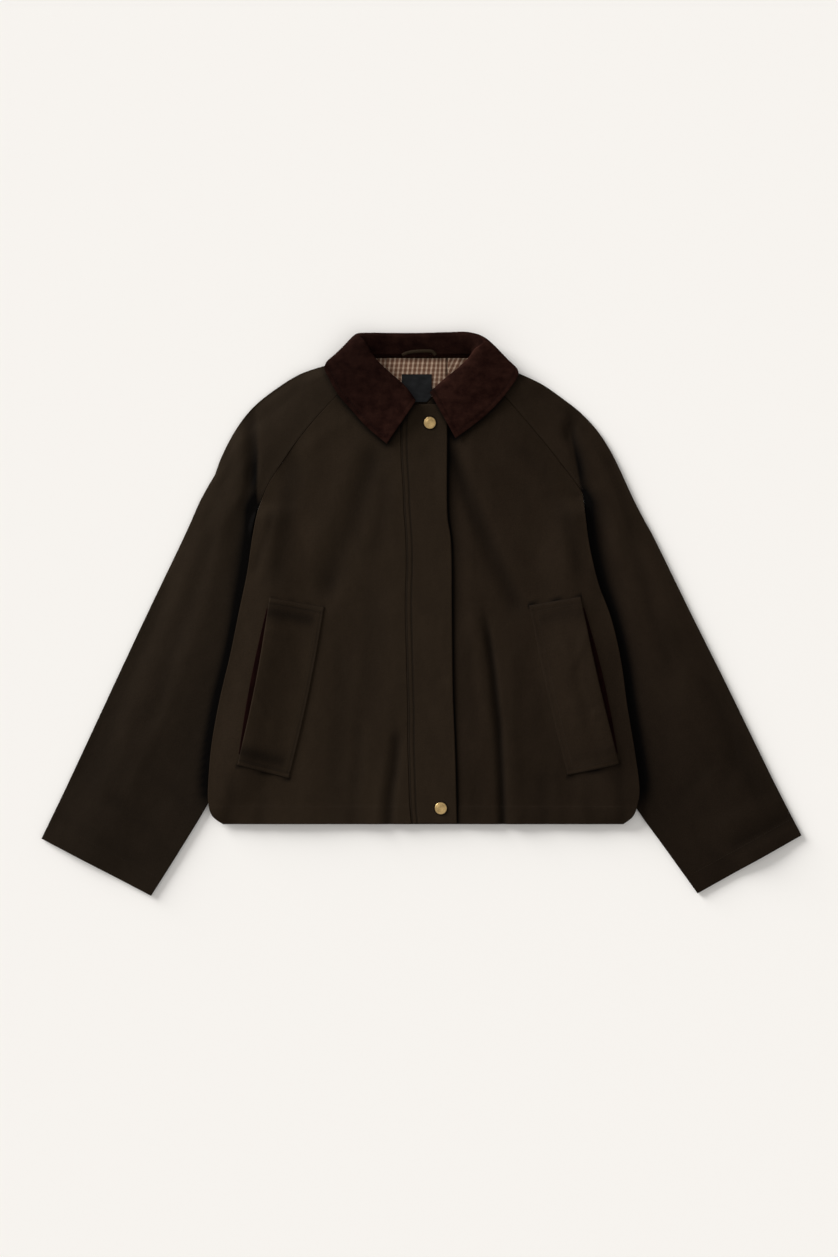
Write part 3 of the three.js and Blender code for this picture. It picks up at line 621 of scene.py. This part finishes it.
for side in ("right", "left"):
    over, seam = edges[side]["over"], edges[side]["sleeveSeam"]
    grid = planGrid(over, seam, fineness["columns"] - 20)
    x, y, row, share = grid["x"], grid["y"], grid["row"], grid["share"]
    down = smooth(row, yokeSections, yokeSections + 4)
    pinch = smooth(share, mix(0.6, 0.4, down), mix(1.0, 0.7, down))
    puff = cloth["sleevePuff"] * smooth(share, sleevePanel["crownFrom"], sleevePanel["crownTo"])
    puff = puff * (1 - pinch * (1 - seamPuff(row)))
    folds = foldDepth(sleeveFolds[side], x, y)
    relief = (folds + ripple(x, y)) * (1 - pinch) * smooth(share, 0, 0.06)
    lowerZ = collarLift(x, y) + cloth["wall"] + cloth["clear"] + np.maximum(0.05, puff + relief)
    out = -1 if side == "right" else 1
    past = out * (x - edgeX(edges[side]["bodySeam"], y))
    beyond = np.maximum(past, 0)
    armpitY = edges[side]["under"][0, 1]
    # just below the armpit the sleeve is bunched up until it meets the body's underside
    bunched = bell(beyond, 8) * smooth(y, armpitY - 60, armpitY - 35)
    against = 1.4 * smooth(past, 0.2, 1.4)
    lowerZ = np.maximum(lowerZ, (backHeight(x, y) - cloth["wall"] - 0.12 + against) * bunched)
    # painted shade in the troughs of the folds
    shade = sleevePanel["foldShade"] * np.clip(-folds / 3, 0, 1)
    # painted shade for a crease above the armpit, sharp on the body's side and fading outward
    crease = np.array(armholeCrease[side], float)
    outward = out * (x - edgeX(crease, y))
    creaseShade = bell(np.maximum(outward, 0), 11) * smooth(outward, -2.5, 1.5)
    creaseShade = creaseShade * smooth(crease[0, 1] - y, -6, 60)
    creaseShade = creaseShade * smooth(y, crease[-1, 1] - 40, crease[-1, 1])
    shade = shade + sleevePanel["creaseShade"] * creaseShade
    # painted shade where the body lies on the sleeve, in a band that widens towards the armpit
    lowWidth, highWidth = sleevePanel["contact"][side]
    contact = bell(np.maximum(past - 3, 0), mix(lowWidth, highWidth, smooth(y, -20, 60)))
    shade = shade + 0.97 * contact * smooth(armpitY - y, -14, 16) * smooth(y, -246, -200)
    # a wider, fainter painted shade beside the body, painted shade darkening the sleeve towards the cuff, and
    # painted shadow under the collar leaf's edge
    shade = shade + 0.16 * bell(beyond, 34) * smooth(armpitY - y, -14, 16)
    shade = shade + sleevePanel["cuffShade"] * smooth(-y, -120, 300)
    shade = shade + 0.5 * bell(lineDistance(x, y, leafEdges[side]), 4.2)
    # the map of the cloth runs down the sleeve
    run = over[-1] - over[len(over) // 2]
    angle = math.atan2(run[0], -run[1])
    piece, surfaces["sleeve" + side] = panel(
        "sleeveFront" + side.capitalize(), grid, lowerZ, cloth["wall"], sleeveCanvases[side],
        turned(x, y, angle), roundUp=cloth["sewnEdgeRound"], shade=shade)
    keep("sleeve_front_" + side, piece)
    backSide = planGrid(over, seam, sleevePanel["backColumns"])
    x, y = backSide["x"], backSide["y"]
    piece, _ = panel("sleeveBack" + side.capitalize(), backSide, collarLift(x, y), cloth["wall"],
                     sleeveCanvases[side], turned(x, y, angle), roundUp=0.4, roundDown=1.3)
    keep("sleeve_back_" + side, piece)
print("sleeves made")

placket = {"rise": 3.4, "wall": 2.3, "columns": 90, "stitched": (1.6, 7.6), "dents": ((24, -78), (7, 197))}
snapPlaces = {"snap_top": (10.3, 238), "snap_bottom": (23.9, -239.3)}
placketSeam = np.stack([edgeX(edges["right"]["front"], placketEdge[:, 1]), placketEdge[:, 1]], -1)
grid = planGrid(placketSeam, placketEdge, placket["columns"], rows=np.linspace(0, 1, len(placketEdge)))
x, y, share = grid["x"], grid["y"], grid["share"]
fromSeam = x - placketSeam[:, :1]
stitchLines = sum(bell(fromSeam - place, 1.1) for place in placket["stitched"])
snapRings = sum(bell(np.hypot(x - snapX, y - snapY) - 7.5, 1.3) for snapX, snapY in snapPlaces.values())
# painted shade in the stitched grooves and round the snaps, painted shadow under the collar leaves' edges
shade = 0.55 * stitchLines + 0.8 * bell(lineDistance(x, y, leafEdges["right"]), 4.6)
shade = shade + 0.6 * bell(lineDistance(x, y, leafEdges["left"]), 2.6) + 0.7 * snapRings
freeLift = 0.9 * smooth(share, 0.7, 1) * smooth(y, 120, 230) + 0.3 * np.sin(y / 19) * smooth(share, 0.75, 1)
dents = sum(-0.5 * np.exp(-(((x - dentX) ** 2 + (y - dentY) ** 2) / 60)) for dentX, dentY in placket["dents"])
lowerZ = backHeight(x, y) + cloth["wall"] + placket["rise"] + freeLift + 0.5 * ripple(x, y) + dents
lowerZ = lowerZ - 0.35 * stitchLines
piece, surfaces["placket"] = panel("placket", grid, lowerZ, placket["wall"], canvases["right"], shade=shade)
keep("placket", piece)
print("placket made")

weltCreases = {
    "right": [(-224, -128, -178, -139, 4, -0.9), (-208, -96, -196, -118, 5, 0.7),
              (-190, -20, -170, -26, 5, 0.6), (-212, -150, -196, -172, 5, -0.7),
              (-160, -40, -172, -90, 8, -0.5), (-200, -60, -186, -84, 5, -0.6)],
    "left": [(226, -112, 190, -122, 5, -0.7), (206, -20, 188, -60, 6, 0.6), (160, -30, 176, -96, 8, -0.5),
             (236, -150, 214, -166, 4, -0.6), (200, -80, 214, -120, 5, 0.6)],
}


def pocketLine(side, share, shift):
    # a line down the pocket, at a share of the welt's width from its free edge, bowed in its middle
    facts = pockets[side]
    t = np.linspace(0, 1, pockets["rows"])[:, None]
    ends = [mix(np.array(facts[k][0], float), np.array(facts[k][1], float), share) for k in ("top", "bottom")]
    line = mix(ends[0], ends[1], t)
    line[:, 0] += np.sin(math.pi * t[:, 0]) * (facts["out"] * shift + facts["bow"])
    return line


# Each pocket is a welt and the strip of corduroy facing that shows in its mouth
for side in ("right", "left"):
    rows = np.linspace(0, 1, pockets["rows"])
    grid = planGrid(pocketLine(side, 0, 0), pocketLine(side, 1, 0), pockets["columns"], rows=rows)
    x, y, share, row = grid["x"], grid["y"], grid["share"], grid["row"]
    bulge = pockets["lift"] + pockets["facingWall"]
    bulge = bulge * (1 - smooth(share, 0, 0.4)) * np.sin(math.pi * row) ** 0.6
    ground = restZ(surfaces["front" + side], x, y, 6)
    creases = np.maximum(-0.15, foldDepth(weltCreases[side], x, y))
    lowerZ = ground + 0.2 + bulge + creases + 0.15 * ripple(1.7 * x, 1.7 * y)
    # painted shade along the stitch lines and on the sewn edges, and dark wax in a cloud inside each end
    fromEnds = np.minimum(row, 1 - row) * pockets["long"]
    fromInner = (1 - share) * pockets["wide"]
    shade = 0.34 * bell(fromEnds - 7, 1.6) + 0.30 * bell(fromInner - 4, 1.2) * smooth(fromEnds, 5, 8)
    shade = shade + 0.5 * bell(fromEnds - 18, 9) * smooth(fromInner, 4, 16)
    shade = pockets[side]["waxed"] * shade + 0.5 * bell(fromEnds, 1.4) + 0.2 * bell(fromInner, 1.2)
    piece, surfaces["welt" + side] = panel("pocketWelt" + side.capitalize(), grid, lowerZ, pockets["wall"],
                                           canvases[side], roundUp=pockets["roundUp"], shade=shade)
    keep("pocket_welt_" + side, piece)
    grid = planGrid(pocketLine(side, 0, pockets["mouth"]), pocketLine(side, 0, -pockets["under"]),
                    pockets["facingColumns"], rows=rows)
    inner = slice(10, -10)
    grid = {key: value[inner] for key, value in grid.items()}
    x, y = grid["x"], grid["y"]
    lowerZ = restZ(surfaces["front" + side], x, y, 6) + cloth["clear"]
    piece, _ = panel("pocketFacing" + side.capitalize(), grid, lowerZ, pockets["facingWall"], shadedFacingCorduroy,
                     np.stack([y, x], -1), roundUp=pockets["facingRoundUp"])
    keep("pocket_facing_" + side, piece)
print("pockets made")

# The lining's rows are left x, right x and y; a gathered top, one deep pleat and a check that leans with it
lining = {"rows": [(-61, 58, 318), (-55, 50, 304), (-42, 36, 291), (-29, 22, 279), (-26, 10, 268),
                   (-25, 6, 264.4)],
          "steps": 80, "columns": 110, "wall": 1.0, "lift": 0.5, "pleatX": 31.6, "smallPleatX": -44,
          "middleY": 290, "roundUp": 0.3}
places = np.linspace(0, len(lining["rows"]) - 1, lining["steps"])
shape = curveAt(lining["rows"], places)
grid = planGrid(shape[:, [0, 2]], shape[:, [1, 2]], lining["columns"], rows=places)
x, y = grid["x"], grid["y"]
gather = 0.35 * np.sin(x / 2.3 + 0.6 * np.sin(x / 7)) * smooth(y, 300, 318)
pleat = -0.7 * bell(x - lining["pleatX"], 1.6) * smooth(y, 292, 300)
lowerZ = backHeight(x, y) + cloth["wall"] + lining["lift"] + gather + pleat + 0.3 * ripple(x * 1.5, y * 1.5)
lean = (y - lining["middleY"]) * (0.13 * smooth(34 - x, 0, 20) + 0.45 * smooth(x, 31, 33))
# painted shade in the pleats, and painted shadow along the top edge under the collar
shade = 0.9 * bell(x - lining["pleatX"], 0.9) * smooth(y, 286, 294) + 0.55 * smooth(y, 313, 318)
shade = shade + 0.45 * bell(x - lining["smallPleatX"], 0.8) * smooth(y, 304, 312)
piece, surfaces["lining"] = panel("neckLining", grid, lowerZ, lining["wall"], checkLining,
                                  uv=np.stack([x - lean, y], -1), roundUp=lining["roundUp"], shade=shade)
keep("neck_lining", piece)

label = {"rows": [(-24.6, 12.8, 298), (-24.6, 12.8, 284), (-24.6, 12.8, 272), (-24.6, 6.4, 263.6)],
         "steps": 50, "columns": 30, "wall": 0.8, "lift": 0.25, "wave": 0.3, "roundUp": 0.3}
places = np.linspace(0, len(label["rows"]) - 1, label["steps"])
shape = curveAt(label["rows"], places)
grid = planGrid(shape[:, [0, 2]], shape[:, [1, 2]], label["columns"], rows=places)
x, y = grid["x"], grid["y"]
lowerZ = restZ(surfaces["lining"], x, y, 12) + label["lift"] + label["wave"] * np.sin(x / 5 - y / 9) ** 2
piece, _ = panel("neckLabel", grid, lowerZ, label["wall"], labelSatin, roundUp=label["roundUp"])
keep("neck_label", piece)
print("neck made")

# Collar: neck seam x, y, roll x, y, outer edge x, y, roll height, and the cloth's turn there in degrees
collar = {
    "sections": [(-13, 258, -8, 264, -43, 212, 15, 60), (-28, 273, -22, 283, -68, 233, 17, 75),
                 (-44, 289, -39, 298, -86, 253, 19, 80), (-57, 304, -54, 312, -104, 274, 21, 72),
                 (-65, 314, -65, 326, -115, 294, 23, 50), (-69, 319, -72, 338, -120, 307, 24, 10),
                 (-67, 322, -78, 346, -109, 318, 19, -40), (-58, 323, -61, 348, -98, 306, 12, -80),
                 (-39, 323, -38, 348, -62, 286, 9, -90), (-2, 323, -2, 348, -2, 283, 9, -90),
                 (35, 323, 34, 349, 58, 286, 9, -90), (55, 323, 56, 349, 98, 303, 12, -80),
                 (63, 322, 71, 344, 110, 310, 19, -40), (66, 318, 77, 336, 120, 299, 24, 10),
                 (63, 312, 67, 328, 112, 284, 23, 50), (55, 303, 58, 316, 97, 265, 21, 72),
                 (42, 291, 44, 303, 80, 248, 19, 80), (28, 279, 29, 291, 60, 232, 17, 75),
                 (16, 267, 11, 274, 42, 219, 14, 60)],
    "wall": 2.4, "stations": 260, "standColumns": 26, "leafColumns": 80, "clear": 1.2, "pull": 7.0,
    "neckCentre": (-1, 292), "edgeRound": 1.1, "stitchInset": 6, "channel": 0.35, "standShade": 0.40,
    "rightShade": 0.42, "rightShoulder": (-120, 320), "leftCorner": (13, 275), "cornerShade": 0.7,
}


def bezier(a, b, c, d, t):
    # cubic curve from a to d, pulled towards b and c, for every station at once
    s = 1 - t
    return a * s ** 3 + 3 * b * s * s * t + 3 * c * s * t * t + d * t ** 3


def collarSurface(stations):
    # middle of the collar's cloth: from the neck seam up to the roll, then out to the leaf's edge
    at = curveAt(collar["sections"], stations)[:, None, :]
    base, roll, rim = at[..., 0:2], at[..., 2:4], at[..., 4:6]
    rollZ, turn = at[..., 6:7], at[..., 7:8]
    under = smooth(-turn, 0, 60)
    ground = 2 * cloth["wall"] + 0.3 + cloth["bodyPuff"] + collar["clear"] + collar["wall"] / 2
    baseZ = mix(collarLift(base[..., :1], base[..., 1:]) + ground,
                neckLay["lift"] + cloth["wall"] + 0.3 + collar["wall"] / 2, under)
    rimZ = mix(collarLift(rim[..., :1], rim[..., 1:]) + ground, collar["wall"] / 2, under)
    outward = roll - np.array(collar["neckCentre"])
    outward = outward / np.linalg.norm(outward, axis=-1, keepdims=True)
    angle = np.radians(turn)
    way = np.concatenate([outward * np.cos(angle), np.sin(angle)], -1)
    start, top, end = (np.concatenate(pair, -1) for pair in ((base, baseZ), (roll, rollZ), (rim, rimZ)))
    into = mix(end, top, mix(0.4, 0.8, under))
    into[..., 2:] = mix(collarLift(into[..., :1], into[..., 1:2]) + ground + 3, rimZ, under)
    standT = np.linspace(0, 1, collar["standColumns"], endpoint=False)[None, :, None]
    leafT = np.linspace(0, 1, collar["leafColumns"])[None, :, None] ** 1.4
    leafT = np.concatenate([leafT[:, :-1], 1 - np.array([0.012, 0.006, 0.002, 0])[None, :, None]], 1)
    stand = bezier(start, mix(start, top, 0.3), top - way * collar["pull"], top, standT)
    leaf = bezier(top, top + way * collar["pull"], into, end, leafT)
    return np.concatenate([stand, leaf], 1)


lastStation = len(collar["sections"]) - 1
tips = np.array([0, 0.004, 0.01, 0.02, 0.035, 0.06])
evenStations = np.linspace(0.1, lastStation - 0.1, collar["stations"])
stations = np.concatenate([tips, evenStations, lastStation - tips[::-1]])
middle = collarSurface(stations)
normal = np.cross(np.gradient(middle, axis=1), np.gradient(middle, axis=0))
normal /= np.linalg.norm(normal, axis=-1, keepdims=True)
across = np.pad(np.cumsum(np.linalg.norm(np.diff(middle, axis=1), axis=-1), 1), ((0, 0), (1, 0)))
along = np.pad(np.cumsum(np.linalg.norm(np.diff(middle, axis=0), axis=-1), 0), ((1, 0), (0, 0)))
fromRim = np.minimum(across[:, -1:] - across, np.minimum(along, along[-1:] - along))
onStand = (np.arange(middle.shape[1]) < collar["standColumns"])[None, :]
leafOnly = ~onStand
# half the cloth's thickness, less its rounded rim and a shallow channel under the edge stitching
stitchChannel = bell(fromRim - collar["stitchInset"], 0.9) * leafOnly
half = collar["wall"] / 2 - 0.5 * rounding(np.maximum(fromRim, 0), collar["edgeRound"])
half = half - collar["channel"] * stitchChannel
# uneven puckers lift the leaf's outer part
sway = (0.2 * (1 + np.sin(along / 13 + across / 17)) * leafOnly * smooth(across, 30, 60))[..., None]
uv = middle[..., :2] + np.stack([np.zeros_like(along), 0.35 * middle[..., 2]], -1)
faceUp = 1.0 if normal[len(stations) // 12, collar["standColumns"] + 40, 2] > 0 else -1.0
upper = middle + normal * (half[..., None] * faceUp) + np.array([0, 0, 1]) * sway
lower = middle - normal * (half[..., None] * faceUp) + np.array([0, 0, 1]) * sway
# the right leaf is darker; painted shade darkens the stand, the stitch channel and the left leaf's inner
# corner
fromShoulder, fromCorner = (np.hypot(middle[..., 0] - placeX, middle[..., 1] - placeY)
                            for placeX, placeY in (collar["rightShoulder"], collar["leftCorner"]))
shade = collar["rightShade"] * smooth(-middle[..., 0], -20, 40) * smooth(150 - fromShoulder, 0, 110)
shade = np.maximum(shade, collar["standShade"] * onStand) + 0.25 * stitchChannel
shade = shade + collar["cornerShade"] * bell(fromCorner, 7)
keep("collar", wallMesh("collar", lower, upper, uv, corduroy, shade))
surfaces["collar"] = upper
print("collar made")

# Hanger loop: a flattened cord of cloth, an ellipse carried along its path
loop = {"path": [(-24, 321.5), (-17, 324.5), (-8, 326), (4, 326.6), (13, 326), (17.5, 321.5)],
        "width": 2.0, "height": 0.9, "z": 10.4, "slope": 0.14, "seam": 323, "sides": 20, "steps": 90}
path = curveAt(loop["path"], np.linspace(0, len(loop["path"]) - 1, loop["steps"]))
path = np.concatenate([path, loop["z"] + loop["slope"] * (path[:, 1:] - loop["seam"])], 1)
tangent = np.gradient(path, axis=0)
tangent /= np.linalg.norm(tangent, axis=1, keepdims=True)
sideways = np.cross(tangent, [0, 0, 1.0])
sideways /= np.linalg.norm(sideways, axis=1, keepdims=True)
lift = np.cross(sideways, tangent)
turnAround = np.linspace(0, 2 * math.pi, loop["sides"], endpoint=False)
ring = (path[:, None] + sideways[:, None] * (loop["width"] * np.cos(turnAround))[None, :, None]
        + lift[:, None] * (loop["height"] * np.sin(turnAround))[None, :, None])


def tubeMesh(name, rings, material):
    # closed tube from rings of points, its two ends capped
    steps, sides = rings.shape[:2]
    index = np.arange(steps * sides).reshape(steps, sides)
    around = np.roll(index, -1, axis=1)
    faces = np.stack([index[:-1], around[:-1], around[1:], index[1:]], -1).reshape(-1, 4).tolist()
    faces += [index[0, ::-1].tolist(), index[-1].tolist()]
    mesh = bpy.data.meshes.new(name)
    mesh.from_pydata((rings.reshape(-1, 3) * toMetres).tolist(), [], faces)
    mesh.polygons.foreach_set("use_smooth", np.ones(len(faces), bool))
    layer = mesh.uv_layers.new(name="cloth")
    flat = rings.reshape(-1, 3)[:, :2] * toMetres
    corner = np.empty(len(mesh.loops), np.int32)
    mesh.loops.foreach_get("vertex_index", corner)
    layer.data.foreach_set("uv", flat[corner].ravel())
    mesh.materials.append(material)
    tube = bpy.data.objects.new(name, mesh)
    bpy.context.collection.objects.link(tube)
    return tube


keep("hanger_loop", tubeMesh("hangerLoop", ring, canvases["right"]))

# Snap caps: a profile of radius and height turned round each centre
snap = {"sides": 72, "seat": 0.05,
        "profile": [(0.02, 0), (6.6, 0), (7.3, 0.25), (7.5, 0.7), (7.4, 1.2), (7.0, 1.55), (6.5, 1.6),
                    (6.0, 1.42), (5.5, 1.5), (4.6, 1.95), (3.2, 2.35), (1.6, 2.6), (0.02, 2.7)]}
profile = np.array(snap["profile"])
turnAround = np.linspace(0, 2 * math.pi, snap["sides"], endpoint=False)
for name, (centreX, centreY) in snapPlaces.items():
    seatZ = restZ(surfaces["placket"], np.array([centreX]), np.array([centreY]), 8)[0] + snap["seat"]
    rings = np.stack([centreX + profile[:, :1] * np.cos(turnAround),
                      centreY + profile[:, :1] * np.sin(turnAround),
                      np.repeat(profile[:, 1:] + seatZ, snap["sides"], 1)], -1)
    keep(name, tubeMesh("snapCap" + name.split("_")[1].capitalize(), rings, snapBrass))
print("loop and snaps made")

# Stitches: one joined mesh of small rounded threads for each seam
stitch = {"length": 2.3, "pitch": 3.1, "radius": 0.27, "sides": 6, "sink": 0.06, "fromRaglan": 2.6,
          "fromCuff": 24, "weltInsets": (2.2, 8.5), "hemY": -237.0,
          "hemRun": {"right": (-247, -20), "left": (46, 250)}}


def stitchMesh(name, lines, surface, material):
    # every stitch is a short six-sided thread, thin at both ends, lying along its line on a surface
    starts, ways, heights = [], [], []
    for line in lines:
        line = np.asarray(line, float)
        run = np.concatenate([[0], np.cumsum(np.hypot(*np.diff(line[:, :2], axis=0).T))])
        places = np.arange(stitch["pitch"] / 2, run[-1] - stitch["pitch"] / 2, stitch["pitch"])
        centre = np.stack([np.interp(places, run, line[:, k]) for k in range(line.shape[1])], -1)
        ahead = np.stack([np.interp(places + 0.5, run, line[:, k]) for k in range(line.shape[1])], -1)
        way = (ahead - centre)[:, :2]
        way = way / np.linalg.norm(way, axis=1, keepdims=True)
        heights.append(centre[:, 2] if line.shape[1] == 3 else restZ(surface, centre[:, 0], centre[:, 1], 4))
        starts.append(centre[:, :2])
        ways.append(way)
    centre, way, height = np.concatenate(starts), np.concatenate(ways), np.concatenate(heights)
    side = np.stack([-way[:, 1], way[:, 0]], -1)
    reach = np.array([-0.5, -0.38, 0, 0.38, 0.5]) * stitch["length"]
    fat = np.array([0.25, 0.85, 1.0, 0.85, 0.25]) * stitch["radius"]
    bow = np.array([-0.22, 0, 0.06, 0, -0.22])
    turns = np.linspace(0, 2 * math.pi, stitch["sides"], endpoint=False)
    flatPart = (centre[:, None, None, :] + way[:, None, None, :] * reach[None, :, None, None]
                + side[:, None, None, :] * (fat[:, None] * np.cos(turns)[None, :])[None, :, :, None])
    up = height[:, None, None] - stitch["sink"] + bow[None, :, None]
    up = up + (fat[:, None] * np.sin(turns)[None, :])[None]
    points = np.concatenate([flatPart, up[..., None]], -1)
    count, steps, sides = points.shape[:3]
    index = np.arange(steps * sides).reshape(steps, sides)
    around = np.roll(index, -1, axis=1)
    one = np.stack([index[:-1], around[:-1], around[1:], index[1:]], -1).reshape(-1, 4)
    caps = [index[0, ::-1], index[-1]]
    offsets = (np.arange(count) * steps * sides)[:, None, None]
    faces = (one[None] + offsets).reshape(-1, 4).tolist()
    for cap in caps:
        faces += (cap[None, None] + offsets).reshape(-1, sides).tolist()
    mesh = bpy.data.meshes.new(name)
    mesh.from_pydata((points.reshape(-1, 3) * toMetres).tolist(), [], faces)
    mesh.polygons.foreach_set("use_smooth", np.ones(len(faces), bool))
    mesh.materials.append(material)
    piece = bpy.data.objects.new(name, mesh)
    bpy.context.collection.objects.link(piece)
    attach(piece, "root")
    return piece


def beside(line, distance):
    # a plan line moved sideways, to the left of its own direction for a distance above 0
    way = np.gradient(line, axis=0)
    way /= np.linalg.norm(way, axis=1, keepdims=True)
    return line + np.stack([-way[:, 1], way[:, 0]], -1) * distance


def weltFrame(side, inset):
    # top, inner side and bottom of a welt, inside its edges
    facts = pockets[side]
    wide = abs(facts["top"][1][0] - facts["top"][0][0])
    inner = pocketLine(side, 1 - inset / wide, 0)
    outer = pocketLine(side, inset / wide, 0)
    trim = max(2, int(inset / pockets["rowPitch"]))
    return [np.stack([outer[trim], inner[trim]]), inner[trim:-trim], np.stack([inner[-trim], outer[-trim]])]


for side in ("right", "left"):
    ending = side.capitalize()
    over, seam = edges[side]["over"], edges[side]["sleeveSeam"]
    inward = -stitch["fromRaglan"] if side == "right" else stitch["fromRaglan"]
    raglanLine = beside(edges[side]["bodySeam"][rowPlaces <= yokeSections - 0.15], inward)
    hemX = np.linspace(*stitch["hemRun"][side], 80)
    hemLine = np.stack([hemX, np.full(80, stitch["hemY"])], -1)
    upArm = over[-16] - over[-1]
    upArm = upArm / np.linalg.norm(upArm) * stitch["fromCuff"]
    cuffLine = np.stack([mix(over[-1], seam[-1], t) + upArm for t in np.linspace(0.03, 0.985, 60)])
    weltLines = [line for inset in stitch["weltInsets"] for line in weltFrame(side, inset)]
    sleeveTop, frontTop, weltTop = (surfaces[kind + side] for kind in ("sleeve", "front", "welt"))
    raglanStitch = stitchMesh("raglanStitch" + ending, [raglanLine], sleeveTop, thread)
    hemStitch = stitchMesh("hemStitch" + ending, [hemLine], frontTop, thread)
    weltStitch = stitchMesh("weltStitch" + ending, weltLines, weltTop, thread)
    cuffStitch = stitchMesh("cuffStitch" + ending, [cuffLine], sleeveTop, thread)

placketLines = [placketSeam[4:-4] + np.array([place, 0]) for place in placket["stitched"]]
placketStitch = stitchMesh("placketStitch", placketLines, surfaces["placket"], thread)

# one row inside the leaves' outer edge, from each tip to its shoulder
inset = np.argmin(np.abs(across[:, -1:] - across - collar["stitchInset"]), axis=1)
edgePath = surfaces["collar"][np.arange(len(stations)), inset]
fromTip = np.minimum(stations, lastStation - stations)
shown = (fromTip > 0.3) & (fromTip < 5.2)
rimLines = [edgePath[shown & (stations < lastStation / 2)], edgePath[shown & (stations > lastStation / 2)]]
collarStitch = stitchMesh("collarStitch", rimLines, None, collarThread)
print("stitches made")


def cutArea(edgeA, edgeB):
    # area between two edges of a pattern, from the cross products round its outline
    x, y = np.concatenate([edgeA, edgeB[::-1]]).T
    return abs(np.sum(x * np.roll(y, -1) - y * np.roll(x, -1))) / 2 * toMetres ** 2


cuts = {
    side: {
        "front": cutArea(edges[side]["front"], edges[side]["bodySeam"]),
        "sleeve": cutArea(edges[side]["over"], edges[side]["sleeveSeam"]),
        "welt": cutArea(pocketLine(side, 0, 0), pocketLine(side, 1, 0)),
        "facing": cutArea(pocketLine(side, 0, pockets["mouth"]), pocketLine(side, 0, -pockets["under"])),
    }
    for side in ("right", "left")
}
# cuts holds the area each sheet was cut to, in square metres
print("sheets declared")

# A pale floor in metres, a low broad sun from the upper left and an even sky
stage = {"floor": (0.93, 0.905, 0.87), "size": 30.0, "level": -0.0005, "sky": (1.0, 0.99, 0.975),
         "skyPower": 0.465}
lamps = {"keyLamp": {"elevation": 16, "azimuth": 140, "softness": 32, "power": 5.13},
         "fillLamp": {"elevation": 60, "azimuth": -50, "softness": 60, "power": 0.30}}
floorMesh = bpy.data.meshes.new("floor")
reach = stage["size"] / 2
corners = [(x * reach, y * reach, stage["level"]) for x, y in ((-1, -1), (1, -1), (1, 1), (-1, 1))]
floorMesh.from_pydata(corners, [], [(0, 1, 2, 3)])
floor = bpy.data.objects.new("floor", floorMesh)
bpy.context.collection.objects.link(floor)
floorMaterial, _, _, floorShader = newMaterial("paleFloor")
floorShader.inputs["Base Color"].default_value = (*stage["floor"], 1)
floorShader.inputs["Roughness"].default_value = 0.9
floorMesh.materials.append(floorMaterial)


def sunLamp(name, elevation, azimuth, softness, power):
    # even light from one side: azimuth counted from +X towards +Y, all angles in degrees
    lamp = bpy.data.lights.new(name, "SUN")
    lamp.angle = math.radians(softness)
    lamp.energy = power
    holder = bpy.data.objects.new(name, lamp)
    bpy.context.collection.objects.link(holder)
    holder.rotation_euler = (math.radians(90 - elevation), 0, math.radians(azimuth + 90))
    holder.location = (0, 0, 3)


for name, facts in lamps.items():
    sunLamp(name, **facts)
world = bpy.data.worlds.new("studio")
bpy.context.scene.world = world
world.use_nodes = True
background = world.node_tree.nodes["Background"]
background.inputs["Color"].default_value = (*stage["sky"], 1)
background.inputs["Strength"].default_value = stage["skyPower"]

# The camera looks straight down: plan centre and visible height in metres, lens and sensor in millimetres
view = {"centre": (-0.0031, -0.0167), "height": 1.559, "lens": 100, "sensor": 36}
cameraData = bpy.data.cameras.new("camera")
cameraData.lens = view["lens"]
cameraData.sensor_width = view["sensor"]
cameraData.clip_end = 50
camera = bpy.data.objects.new("camera", cameraData)
camera.location = (*view["centre"], view["height"] * view["lens"] / view["sensor"])
bpy.context.collection.objects.link(camera)
bpy.context.scene.camera = camera
bpy.context.scene.view_settings.view_transform = "Standard"
print("stage set")
